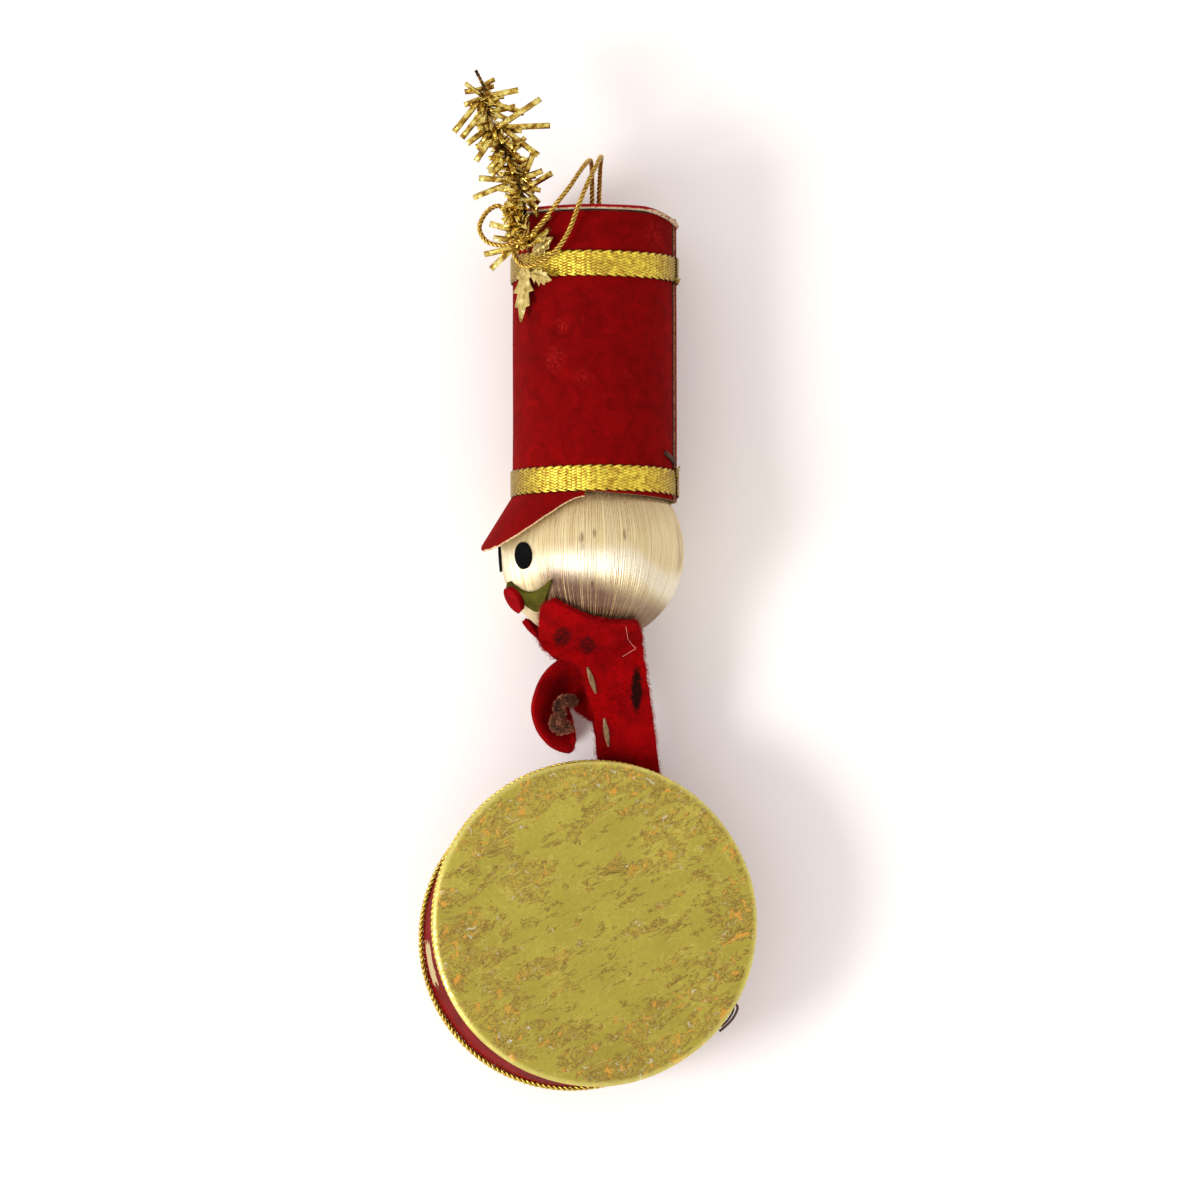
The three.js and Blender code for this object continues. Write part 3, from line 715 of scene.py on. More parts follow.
def disc_edge_finish():
    """The disc's cut edge: velvet on its outer part and bare card below it, divided by a ragged line."""
    finish = Finish("disc_edge", Roughness=0.9, Specular_IOR_Level=0.1)
    x, y, z = finish.split(finish.place(centre=ball_centre * 1000, turn=(-hat_droop, 0, 0)))
    place = finish.place()
    ragged = finish.grain(place, 1.5, 4, 0.7)
    height = y - z * hat_end_slope + ragged * 0.5
    top = (hat_rim + hat_length + gap) * 1000
    card = finish.mix(srgb(140, 98, 72), srgb(204, 176, 142), finish.grain(place, 0.7, 4).step(0.35, 0.6))
    finish.give("Base Color", finish.mix(card, srgb(140, 10, 16), height.step(top + 0.5, top + 0.66)))
    finish.bump(finish.grain(place, 0.25, 3), 0.08)
    return finish


disc_finishes = (velvet, disc_edge_finish(), card_inside)
disc_wall = disc_thickness * 0.85
disc_grid = (160, 18)
add_sheet(
    "hat_disc", "hat_top", "red_velvet",
    disc_finishes, hat_disc_surface, disc_grid, disc_wall, closed=True, **card_edges,
)

# %% [markdown]
# The visor is a crescent of the same velvet card. It starts under the lower braid, flares out over the
# face and ends in a ragged cream line, its cut edge.

# %% The visor
visor_azimuth = math.radians(71)
visor_spread = math.radians(62)
visor_length = mm(10.5)
visor_under_braid = mm(0.85)
visor_thickness = mm(0.9)
visor_flare = 0.62


def visor_surface(u, v):
    turn = 2 * u - 1
    drop = (visor_under_braid + visor_length * (1 - turn * turn) ** 2) * v - mm(0.6)
    drop += mm(0.25) * v * noise.noise(Vector((turn * 22, 0.5, 2))) * (1 - turn * turn)
    azimuth = visor_azimuth + visor_spread * turn
    radius = hat_radius + visor_thickness / 2 + visor_flare * drop
    height = hat_rim - gap - visor_thickness / 2 - drop
    side = hat_side_shift - radius * math.sin(azimuth)
    return hat_place @ Vector((side, height, radius * math.cos(azimuth)))


visor_finishes = (velvet, card_edge, card_inside)
visor_wall = visor_thickness * 0.55
add_sheet(
    "velvet_visor", "visor", "red_velvet",
    visor_finishes, visor_surface, (90, 14), visor_wall, **card_edges,
)

# %% [markdown]
# Both braids are flat plaits of metallic thread. Seventeen strands each cross from edge to edge and pass
# over one strand and under the next. Drawn as real strands they give the slanted dashes, the scalloped
# edges and the dark gaps at once. The plait is worked out flat, and each point of its strands is then
# laid around the hat.

# %% The plaited braids
plait_strands = 17
plait_period = mm(35)
strand_half_width = mm(0.3)
strand_flatness = 0.3
plait_rise = mm(0.12)


def plait_height(turn):
    """Over or under, -1 to 1, for a strand this many turns after its far edge."""
    t = (turn + 0.5) % 1 - 0.5
    half_step = 0.5 / plait_strands
    if abs(t) < half_step:
        return math.sin(math.pi * plait_strands * t)
    near_edge = t - 0.5 if t > 0 else t + 0.5
    if abs(near_edge) < half_step:
        return math.sin(math.pi * plait_strands * near_edge)
    wave = math.cos(math.tau * plait_strands * t)
    return wave if t < 0 else -wave


def plait_paths(length, width):
    reach = width / 2 - strand_half_width
    samples = int(length / plait_period * plait_strands * 6)
    paths = []
    for strand in range(plait_strands):
        path = []
        for k in range(samples + 1):
            along = length * k / samples
            turn = along / plait_period + strand / plait_strands
            across = 1 - 4 * abs((turn + 0.25) % 1 - 0.5)
            rise = plait_rise * plait_height(turn - 0.25) / strand_flatness
            path.append(Vector((along, reach * across, rise)))
        paths.append(path)
    return paths


def add_braid(name, node, start, wander):
    round_length = math.tau * hat_radius - mm(0.6)
    mesh = thread_mesh(name, plait_paths(round_length, braid_width), strand_half_width, 6)
    reach = max(corner.co.z for corner in mesh.vertices)
    keep_lift(mesh, [0.5 + 0.5 * corner.co.z / reach for corner in mesh.vertices])
    for corner in mesh.vertices:
        along, across, rise = corner.co
        back = along / hat_radius + 0.012
        middle = start + braid_width / 2 + wander * math.sin(back * 2)
        out = mm(0.3) + rise * strand_flatness
        corner.co = on_hat(back, out, middle + across)
    return add_piece(name, mesh, braid_gold, slot="gold_thread", replaces=[node])


lower = add_braid("plaited_lower_braid", "lower_braid", hat_rim, mm(0.1))
add_braid("plaited_upper_braid", "upper_braid", upper_braid_start, mm(-0.12))
print("braid triangles:", 2 * len(lower.data.polygons))

# %% [markdown]
# The face is felt cut-outs glued to the ball: two black eyes, an olive moustache of two lobes, and a red
# nose on top of it. An eye is a disc with a rounded edge, laid on the ball by turning its flat place
# into an angle.

# %% The face
face_azimuth = 71
black_felt = felt("black_felt", srgb(22, 22, 24), srgb(6, 6, 7))
olive_felt = felt("olive_felt", srgb(90, 84, 28), srgb(56, 54, 17))
nose_felt = felt("nose_felt", srgb(154, 6, 12), srgb(104, 3, 8))


def lay_on_ball(form, azimuth, elevation, lift):
    """Wraps a flat shape around the ball: x runs towards the face, y towards the hat and z outwards."""
    outward = on_ball(azimuth, elevation)
    to_hat = on_ball(azimuth, elevation + 90)
    sideways = to_hat.cross(outward)
    for corner in form.verts:
        x, y, z = corner.co
        flat = math.hypot(x, y)
        angle = flat / ball_radius
        along = (sideways * x + to_hat * y) / flat if flat else Vector()
        aim_at = outward * math.cos(angle) + along * math.sin(angle)
        corner.co = ball_centre + aim_at * (ball_radius + lift + z)


def felt_disc(name, radius, thickness, azimuth, elevation, lift, finish, slot, node, stretch=1.0):
    form = bmesh.new()
    bmesh.ops.create_circle(form, cap_ends=True, segments=56, radius=radius)
    for corner in form.verts:
        corner.co.y *= stretch
        corner.co *= 1 + 0.02 * noise.noise(corner.co * 900)
    bmesh.ops.inset_region(form, faces=form.faces[:], thickness=radius * 0.2)
    bmesh.ops.inset_region(form, faces=[max(form.faces, key=lambda f: f.calc_area())], thickness=radius * 0.3)
    raised = bmesh.ops.extrude_face_region(form, geom=form.faces[:])
    top = [part for part in raised["geom"] if isinstance(part, bmesh.types.BMVert)]
    bmesh.ops.translate(form, verts=top, vec=(0, 0, thickness))
    bmesh.ops.recalc_face_normals(form, faces=form.faces)
    bmesh.ops.triangulate(form, faces=[face for face in form.faces if len(face.verts) > 4])
    lay_on_ball(form, azimuth, elevation, lift)
    piece = add_piece(name, mesh_from(form, name), finish, slot=slot, replaces=[node])
    add_rounding(piece, thickness * 0.35, 3)


eye_spread = 20.5
for side, name, node in ((-1, "near_felt_eye", "near_eye"), (1, "far_felt_eye", "far_eye")):
    azimuth = face_azimuth + side * eye_spread
    felt_disc(name, mm(2.4), mm(0.5), azimuth, -4, mm(0.03), black_felt, "black_felt", node, 1.14)


def moustache_surface(u, v):
    along = 2 * u - 1
    swell = abs(math.sin(math.pi * along))
    middle = -20 - 13.5 * swell
    half_width = 0.9 + 5.5 * swell
    ragged = 0.35 * noise.noise(Vector((along * 16, v * 3, 1)))
    elevation = middle + half_width * (1 - 2 * v) + ragged
    radius = ball_radius + mm(0.5)
    return ball_centre + on_ball(face_azimuth - 41 * along, elevation, radius)


soft_edge = {"rounding": mm(0.25), "steps": 3}
add_sheet(
    "felt_moustache", "moustache", "olive_felt",
    [olive_felt], moustache_surface, (80, 10), mm(0.85), **soft_edge,
)
felt_disc("felt_nose", mm(2.6), mm(1.1), face_azimuth - 4, -29.5, mm(1.1), nose_felt, "red_felt", "nose")
print("the face is glued on")

# %% [markdown]
# The coat is two layers of red felt. Each hugs the underside of the ball and runs down to the drum. The
# near layer has a flap at its upper left and dark spots of old glue, and the coat has a painted shade in
# a fold near the hem. The sheets follow the same curves as the solid model, with a little unevenness,
# because old felt never lies flat.

# %% The coat's shape
drum_depth = mm(26)
drum_lean = Vector((mm(4.2), mm(3.5), 0))
hoop_bottom = mm(1.5)
hoop_top = mm(24.5)
hoop_bottom_radius = mm(29.8)
hoop_top_radius = mm(32.3)
coat_thickness = mm(1.8)
coat_hug = ball_radius + 2 * gap + coat_thickness / 2
neck_y = ball_centre.y - ball_radius
hem_y = mm(30.2)


def hoop_radius(height):
    share = (height - hoop_bottom) / (hoop_top - hoop_bottom)
    return hoop_bottom_radius + (hoop_top_radius - hoop_bottom_radius) * share


def soft_max(a, b, blend=mm(1.2)):
    return max(a, b) + blend * math.log1p(math.exp(-abs(a - b) / blend))


def ball_height(x, y):
    inside = coat_hug**2 - (x - ball_centre.x) ** 2 - (y - ball_centre.y) ** 2
    return math.copysign(math.sqrt(abs(inside)), inside)


def near_height(x, y):
    slope = mm(23.6) + (mm(15) - mm(23.6)) * (neck_y - y) / (neck_y - hem_y)
    return soft_max(ball_radius + ball_height(x, y), slope)


def far_height(x, y):
    slope = mm(13) + (mm(10.5) - mm(13)) * (neck_y - y) / (neck_y - hem_y)
    return -soft_max(-ball_radius + ball_height(x, y), -slope)


def hoop_edge(x, height):
    share = height / drum_depth
    reach = hoop_radius(height) + 2 * gap
    return drum_lean.y * share + math.sqrt(reach**2 - (x - drum_lean.x * share) ** 2)


def edge_line(points, hem_x, height):
    places = [mm(x, y, 0) for x, y in points]
    places.append(Vector((hem_x, hoop_edge(hem_x, height), 0)))
    return smooth_route(places, 12)


def along_line(line, share):
    place = min(max(share, 0), 1) * (len(line) - 1)
    k = min(int(place), len(line) - 2)
    return line[k].lerp(line[k + 1], place - k)


def coat_surface(left, right, height_at, seed):
    def surface(u, v):
        point = along_line(left, v).lerp(along_line(right, v), u)
        point.y -= mm(1.6) * math.sin(math.pi * u) * (1 - v) ** 6
        point.y = max(point.y, hoop_edge(point.x, height_at(point.x, hem_y)))
        ripple = noise.noise(Vector((point.x * 160, point.y * 90, seed)))
        edge_wave = noise.noise(Vector((u * 3, point.y * 420, seed + 3)))
        point.x += mm(0.28) * edge_wave * abs(2 * u - 1) ** 3
        point.z = height_at(point.x, point.y) + mm(0.45) * ripple
        return point

    return surface


near_left_corners = [
    (-4.9, 69.6), (-6.8, 68.2), (-7.2, 65.5), (-6.9, 62.5), (-6.4, 60.2),
    (-5, 59.2), (-2, 58.6), (1, 56.2), (2.7, 51.5), (4.7, 43.3),
]
near_left = edge_line(near_left_corners, mm(5), mm(15))
near_right = edge_line([(12.4, 65.2), (13.6, 62.5), (14.6, 56.6), (16, 48.4), (17.2, 40.3)], mm(18.6), mm(15))
far_left = edge_line([(-10, 66.2), (-7, 62), (-4, 58.5), (0, 56), (3, 50), (4.7, 43.3)], mm(6), mm(10.5))
far_right = edge_line([(11.4, 65), (13, 61), (14, 56.6), (15.6, 48.4), (16.8, 40.3)], mm(17.6), mm(10.5))

glue = srgb(40, 8, 8)
scorch = srgb(24, 8, 6)
coat_stains_and_shade = (
    ((-2.6, 62.2), 1.1, 1.7, glue, 0.85, 0),
    ((2.5, 60.5), 1.0, 1.7, glue, 0.8, 0),
    ((12.9, 51.6), 4.0, 1.15, scorch, 0.97, 0.14),
    # Painted shade in a fold near the hem.
    ((9.0, 34.0), 0.8, 5.0, srgb(62, 1, 4), 0.7, 0),
)
coat_felt = felt("coat_felt", srgb(150, 3, 6), srgb(98, 2, 4), coat_stains_and_shade)
sleeve_felt = felt("sleeve_felt", srgb(146, 3, 7), srgb(96, 2, 5))

near_coat_shape = coat_surface(near_left, near_right, near_height, 1)
far_coat_shape = coat_surface(far_left, far_right, far_height, 7)


def sheet_area(piece):
    area = sum(face.area for face in piece.data.polygons)
    print(piece.name, "area in square millimetres:", round(area * 1e6))
    return area


for name, node, shape, grid in (
    ("felt_near_coat", "coat_near_layer", near_coat_shape, (60, 110)),
    ("felt_far_coat", "coat_far_layer", far_coat_shape, (50, 90)),
):
    coat = add_piece(name, sheet_mesh(name, shape, *grid), coat_felt, slot="red_felt", replaces=[node])
    coat_area = sheet_area(coat)
    thicken(coat, coat_thickness * 0.75, rounding=mm(0.35), steps=3)

# %% [markdown]
# Each sleeve is a strip of felt curled into a scoop. The near one shows its lit rim and its dark inside,
# and holds the hand. The scoop's rim is a smooth line through a few given points, and the rest of the
# sheet sinks from it towards a centre.

# %% The sleeves
def sleeve_surface(rim, centre, shrink, seed):
    def surface(u, v):
        edge = along_line(rim, u)
        share = 1 - (1 - shrink) * v
        point = centre.lerp(edge, share)
        point.z = edge.z + (centre.z - edge.z) * math.sin(v * math.pi / 2) ** 1.5
        wobble = noise.noise(Vector((u * 7, v * 2, seed)))
        return point + (edge - centre).normalized() * mm(0.35) * wobble

    return surface


near_rim_points = (
    (4.2, 45.2, 17.2), (4.9, 50.5, 19), (5, 56.2, 20.1), (2, 57.9, 20.4), (-1.6, 58.3, 21),
    (-4.8, 56.2, 21.6), (-7.2, 52.6, 22), (-8.6, 47.7, 22), (-7.6, 43.4, 22), (-5.2, 40.3, 22),
    (-2.5, 38.9, 22), (-0.4, 38.6, 21.5), (0.3, 40.6, 20.5),
)
far_rim_points = (
    (5, 56.2, 10.4), (2, 57.2, 9.6), (-1.4, 57, 7), (-4.2, 54.6, 4), (-6, 51, 2.4),
    (-6.7, 47.4, 2), (-5.9, 44, 2), (-4, 41.6, 2), (-1.8, 40.6, 2.2), (-0.2, 41, 3),
)
near_sleeve_shape = sleeve_surface(route_through(near_rim_points, 10), mm(-0.9, 49.2, 13.6), 0.1, 2)
far_sleeve_shape = sleeve_surface(route_through(far_rim_points, 10), mm(-0.7, 50.3, 8.6), 0.3, 5)
for name, node, shape, flat_size in (
    ("felt_near_sleeve", "near_sleeve", near_sleeve_shape, (0.014, 0.04)),
    ("felt_far_sleeve", "far_sleeve", far_sleeve_shape, (0.012, 0.034)),
):
    sleeve = add_piece(name, sheet_mesh(name, shape, 90, 24), sleeve_felt, slot="red_felt", replaces=[node])
    sleeve_area = sheet_area(sleeve)
    thicken(sleeve, mm(1.3), rounding=mm(0.35), steps=3)

# %% [markdown]
# The drum's hoop is card covered with glossy red paper. It is a little wider in front than behind, and
# it stands out of square, which is why its red side shows on one side only. The paper is torn to the
# card in one place, and scuffed; its pale scuffs are also painted highlights.

# %% The drum's hoop
def lean(point):
    """Shifts a point of the upright drum by the drum's lean at its height."""
    return point + drum_lean * (point.z / drum_depth)


def drum_point(turn, radius, height):
    return lean(Vector((radius * math.cos(turn), radius * math.sin(turn), height)))


def red_gloss():
    finish = Finish("red_gloss_paper", IOR=1.08, Specular_IOR_Level=0.15)
    place = finish.place()
    x, y, z = finish.split(place)
    angle = y.turn_from(x)
    mottled = finish.grain(place, 5.0, 4).step(0.3, 0.7)
    colour = finish.mix(srgb(96, 3, 5), srgb(126, 5, 9), mottled)
    ragged = finish.grain(place, 1.4, 4, 0.6)
    band = (z + ragged * 6).step(8, 8.7) * (1 - (z + ragged * 4).step(14, 14.7))
    torn = angle + ragged * 0.2
    tear = band * torn.step(-3.03, -3.01) * (1 - torn.step(-2.73, -2.71))
    scuffs_and_highlights = finish.grain(finish.place(stretch=(1, 1, 0.4)), 2.6, 5, 0.75).step(0.66, 0.72)
    colour = finish.mix(colour, srgb(184, 166, 122), tear)
    # The pale scuffs are wear and painted highlights at once.
    colour = finish.mix(colour, srgb(190, 110, 112), scuffs_and_highlights * 0.5)
    finish.give("Base Color", colour)
    finish.give("Roughness", (0.45 + 0.45 * tear + 0.25 * scuffs_and_highlights).least(0.95))
    finish.bump(ragged * 0.3 - tear, 0.2, 0.6)
    return finish


def hoop_surface(u, v):
    turn = u * math.tau
    height = hoop_bottom + v * (hoop_top - hoop_bottom)
    dent = mm(0.15) * noise.noise(Vector((2.5 * math.cos(turn), 2.5 * math.sin(turn), v * 2)))
    paper_swell = mm(0.95) * (1 - v)
    return drum_point(turn, hoop_radius(height) - mm(0.55) + paper_swell + dent, height)


hoop_finishes = (red_gloss(), card_inside)
hoop_edges = {"rim": 1, "inside": 1, "rounding": mm(0.15)}
add_sheet(
    "papered_hoop", "drum_hoop", "red_hoop",
    hoop_finishes, hoop_surface, (200, 16), mm(1.1), closed=True, **hoop_edges,
)
print("hoop is papered")

# %% [markdown]
# Each drum head is a card disc covered with gold foil. The foil is rolled over the rim, where a bright
# ring is painted into its colour as a highlight, and it is crazed: stained patches with broken brown
# outlines run across it from lower left to upper right, with fine cracks, painted highlights beside
# creases, and orange and silver flecks among them. They come from noises that are stretched along that
# direction. Where one crosses a level, it draws a wandering line.

# %% Crazed gold foil
def crazed_foil(name, light, dark):
    finish = Finish(name)
    lie = (0, 0, math.radians(26))
    place = finish.place()
    flat = finish.place(turn=lie)
    streaky = finish.place(turn=lie, stretch=(2.3, 1, 1))
    middle = (drum_lean.x * 1000, drum_lean.y * 1000, 26)
    from_middle = finish.distance(place, middle)
    near_rim = from_middle.step(12, 34)
    level = finish.grain(streaky, 4.4, 6, 0.68, 0.6) + 0.1 * near_rim - 0.012
    crazed = level.step(0.545, 0.59)
    broken = finish.grain(flat, 3.0, 4, 0.6).step(0.4, 0.56)
    outline = (1 - abs(level - 0.56).step(0.004, 0.019)) * broken
    crease_highlight = (1 - abs(level - 0.538).step(0.002, 0.011)) * (1 - broken)
    hair_crack = abs(finish.grain(finish.place(turn=lie, stretch=(3.2, 1, 1)), 9.0, 6, 0.7) - 0.47)
    hair_crack = (1 - hair_crack.step(0.003, 0.012)) * finish.grain(flat, 5.0, 3).step(0.47, 0.54)
    crinkle = abs(finish.grain(flat, 1.6, 6, 0.75, 0.7) - 0.5)
    cracks = (1 - crinkle.step(0.01, 0.045)) * crazed
    marks = outline.most(cracks * 0.85).most(hair_crack * 0.9)
    speckle = finish.grain(flat, 0.9, 5, 0.8).step(0.38, 0.62)
    stained = finish.grain(flat, 1.6, 6, 0.72, 0.4).step(0.4, 0.62) * crazed
    orange = finish.grain(flat, 2.2, 5, 0.7, 0.6).step(0.56, 0.62) * (crazed * (0.45 + 0.55 * near_rim))
    silver = finish.grain(finish.place(turn=(0, 0, 1.1)), 1.7, 5, 0.75, 1.0).step(0.6, 0.65) * crazed
    x, y, z = finish.split(place)
    wash = finish.grain(flat, 12.0, 3).step(0.3, 0.75) * 0.6 + y.step(-30, 40) * 0.4
    hairline = finish.grain(finish.place(turn=(0, 0, -0.35), stretch=(7, 0.35, 1)), 1.0, 2)
    scratch = hairline.step(0.7, 0.74) * finish.grain(place, 9.0, 1).step(0.5, 0.62)
    colour = finish.mix(dark, light, wash)
    colour = finish.mix(colour, srgb(148, 134, 54), speckle * 0.3)
    colour = finish.mix(colour, srgb(156, 126, 54), stained * 0.5)
    # Painted highlight beside the creases.
    colour = finish.mix(colour, srgb(226, 208, 112), crease_highlight * 0.6)
    colour = finish.mix(colour, srgb(112, 78, 28), marks * 0.88)
    colour = finish.mix(colour, srgb(222, 156, 62), orange * 0.8)
    colour = finish.mix(colour, srgb(212, 208, 190), silver * 0.7)
    colour = finish.mix(colour, srgb(236, 226, 140), scratch * 0.7)
    # Painted highlight: a bright ring on the rolled rim.
    colour = finish.mix(colour, srgb(240, 230, 134), from_middle.step(32.1, 33.2) * 0.5)
    finish.give("Base Color", colour)
    finish.give("Metallic", 0.95 - 0.4 * marks.most(stained * 0.5))
    rough = 0.24 + 0.2 * stained + 0.25 * marks + 0.08 * finish.grain(flat, 0.6, 3)
    finish.give("Roughness", rough.least(0.9))
    brushed = finish.grain(finish.place(turn=(0, 0, 1.5), stretch=(14, 1, 1)), 0.3, 3)
    relief = finish.grain(flat, 0.8, 3) * crazed + 0.1 * brushed - 0.5 * marks
    finish.bump(relief, 0.08, 0.4)
    return finish


front_foil = crazed_foil("front_foil", srgb(200, 186, 82), srgb(172, 157, 66))
back_foil = crazed_foil("back_foil", srgb(196, 182, 84), srgb(168, 154, 68))


def drum_head(name, node, radius, bottom, top, foil, crown):
    """A foil-covered disc: rings from the middle out, over a rolled rim and back underneath."""
    form = bmesh.new()
    roll = mm(1.9)
    middle = (bottom + top) / 2
    half = (top - bottom) / 2
    profile = [(radius * share, top - crown * share**8) for share in (0.001, 0.2, 0.4, 0.6, 0.75, 0.86, 0.92)]
    profile += [
        (radius - roll + roll * math.sin(angle), middle + half * math.cos(angle))
        for angle in (math.pi * k / 16 for k in range(17))
    ]
    profile += [(radius * share, bottom) for share in (0.8, 0.5, 0.2, 0.001)]
    ring = [form.verts.new((r, 0, z)) for r, z in profile]
    rim_edges = [form.edges.new(pair) for pair in zip(ring, ring[1:])]
    turning = {"axis": (0, 0, 1), "cent": (0, 0, 0), "angle": math.tau, "steps": 180, "use_merge": True}
    bmesh.ops.spin(form, geom=ring + rim_edges, **turning)
    bmesh.ops.remove_doubles(form, verts=form.verts, dist=mm(0.0016))
    bmesh.ops.holes_fill(form, edges=form.edges, sides=0)
    bmesh.ops.recalc_face_normals(form, faces=form.faces)
    for corner in form.verts:
        if corner.co.z > middle:
            corner.co.z += noise.noise(Vector((corner.co.x * 90, corner.co.y * 90, 2))) * mm(0.1)
        edge = corner.co.xy.length / radius
        if edge > 0.9:
            corner.co.xy *= 1 + mm(0.16) * noise.noise(corner.co * 70) / radius
        corner.co = lean(corner.co)
    return add_piece(name, mesh_from(form, name), foil, slot="gold_foil", replaces=[node])


front = drum_head("foil_front_head", "drum_front_head", mm(33.4), mm(24.8), mm(26), front_foil, mm(0.1))
back = drum_head("foil_back_head", "drum_back_head", mm(30.5), 0, mm(1.2), back_foil, 0)
print("head triangles:", 2 * len(front.data.polygons))

# %% [markdown]
# A twisted gold cord is glued around the hoop behind each head. Two plies wound round a ring give its
# dotted look.

# %% The drum's trims
def trim_ring(height, stand_off, slip):
    ring_radius = hoop_radius(height) + stand_off
    return [drum_point(math.tau * k / 900, ring_radius, height) + mm(0, slip, 0) for k in range(900)]


for name, node, height, stand_off, slip, radius in (
    ("twisted_front_trim", "drum_front_trim", hoop_top - mm(0.5), mm(0.68), 0.5, mm(0.5)),
    ("twisted_back_trim", "drum_back_trim", hoop_bottom + mm(0.55), mm(1.38), 0, mm(0.6)),
):
    ring = trim_ring(height, stand_off, slip)
    trim_mesh = thread_mesh(name, twisted(ring, 2, radius * 0.47, mm(2.3), closed=True), radius * 0.53, 6)
    store_lift(trim_mesh, ring, radius)
    add_piece(name, trim_mesh, trim_gold, slot="gold_thread", replaces=[node])
print("trims are wound")

# %% [markdown]
# The plume is tinsel: narrow strips of foil held by a twisted wire. The strips that stand out clearly are
# listed one by one. A seeded crowd of shorter ones fills the plume around the wire, each a small ribbon
# with its own curl and twist. They are sparse at the tip, where the bare wire shows.

# %% Tinsel foil and the plume
def tinsel_foil(name, stops, roughness=0.2):
    """Foil whose tone wanders, with a painted shade where the strips crowd round the wire."""
    finish = Finish(name, Metallic=0.95, Roughness=roughness)
    place = finish.place()
    tone = finish.grain(place, 1.8, 3, 0.6)
    colour = finish.node("ShaderNodeValToRGB", {"stops": stops}, {"Fac": tone})
    # Painted shade near the wire, where lift is low.
    crowd_shade = 1 - finish.stored("lift").step(0.05, 0.4)
    finish.give("Base Color", finish.mix(colour, srgb(120, 76, 20), crowd_shade * 0.7))
    finish.bump(finish.grain(place, 0.9, 2), 0.12, 0.6)
    return finish


plume_foil = tinsel_foil(
    "plume_foil",
    [
        (0.34, srgb(112, 78, 26)), (0.44, srgb(176, 138, 54)),
        (0.54, srgb(222, 196, 96)), (0.66, srgb(252, 240, 160)),
    ],
)
wire_tones = (srgb(52, 36, 18), srgb(120, 88, 40))
wire_finish = two_tone("plume_wire", *wire_tones, 1.2, steps=(0.4, 0.6), Metallic=0.9, Roughness=0.4)
plume_azimuth = math.radians(46.3)
plume_out = braid_outside + mm(1.95)
foot_side = hat_side_shift - plume_out * math.sin(plume_azimuth)
foot_top = plume_out * math.cos(plume_azimuth)
plume_foot = hat_place @ Vector((foot_side, upper_braid_start + braid_width, foot_top))
wire_steps = (
    (0, 0, 0), (0, 2.9, 0), (-0.2, 6.2, -0.2), (-1, 9.7, -0.8), (-2.6, 16.6, -1.8),
    (-5.7, 23.3, -2.8), (-8.7, 30.4, -3.4), (-8.9, 33.7, -3.4), (-10.6, 37.4, -3.4),
)
wire_route = smooth_route([plume_foot + mm(*step) for step in wire_steps], 8)


def tinsel_ribbon(form, foot, outward, width_line, length, width, curl):
    """One strip: an edge across its foot, extruded outward in short steps that curl over that edge."""
    steps = 4
    half = width_line * (width / 2)
    front = form.edges.new([form.verts.new(foot - half), form.verts.new(foot + half)])
    heading = outward.copy()
    for _ in range(steps):
        grown = bmesh.ops.extrude_edge_only(form, edges=[front])["geom"]
        ends = [part for part in grown if isinstance(part, bmesh.types.BMVert)]
        edges = [part for part in grown if isinstance(part, bmesh.types.BMEdge)]
        front = next(edge for edge in edges if all(end in ends for end in edge.verts))
        bmesh.ops.translate(form, verts=ends, vec=heading * (length / steps))
        heading = (Matrix.Rotation(curl / steps, 3, width_line) @ heading).normalized()


def strip_direction(ahead, angle):
    side = ahead.orthogonal().normalized()
    up = ahead.cross(side)
    return side * math.cos(angle) + up * math.sin(angle)


placed_strips = (
    (-18.0, 173.4, -11.8, 174.5), (-16.2, 166.8, -7.3, 172.8), (-16.2, 166.8, -5.3, 167.4),
    (-15.5, 167.2, -7.7, 160.6), (-18.0, 172.2, -10.6, 169.9), (-19.7, 172.6, -25.0, 166.0),
    (-19.5, 169.7, -23.4, 164.6), (-18.4, 166.4, -22.4, 163.3), (-17.2, 164.8, -20.5, 159.8),
    (-15.1, 155.9, -19.9, 156.3), (-14.3, 154.8, -21.3, 152.4), (-11.0, 153.6, -5.0, 157.5),
    (-10.6, 156.5, -6.9, 157.7), (-13.3, 151.5, -8.3, 151.7), (-10.4, 157.3, -8.7, 161.7),
    (-11.4, 144.9, -17.8, 146.8), (-11.8, 143.3, -17.0, 143.7), (-12.4, 142.0, -19.0, 140.2),
    (-13.1, 141.6, -17.6, 137.5), (-10.2, 142.0, -5.2, 145.8), (-9.8, 143.3, -5.4, 148.4),
)
strip_width = mm(1.25)
plume_form = bmesh.new()
for foot_x, foot_y, tip_x, tip_y in placed_strips:
    run = mm(tip_x - foot_x, tip_y - foot_y, random.uniform(-1.5, 1.5))
    foot = mm(foot_x, foot_y, 0)
    foot.z = min(wire_route, key=lambda point: abs(point.y - foot.y)).z + mm(random.uniform(0.4, 1.2))
    across = run.cross(Vector((random.uniform(-0.4, 0.4), random.uniform(-0.4, 0.4), 1))).normalized()
    curl = random.uniform(-0.35, 0.35)
    tinsel_ribbon(plume_form, foot, run.normalized(), across, run.length, strip_width, curl)

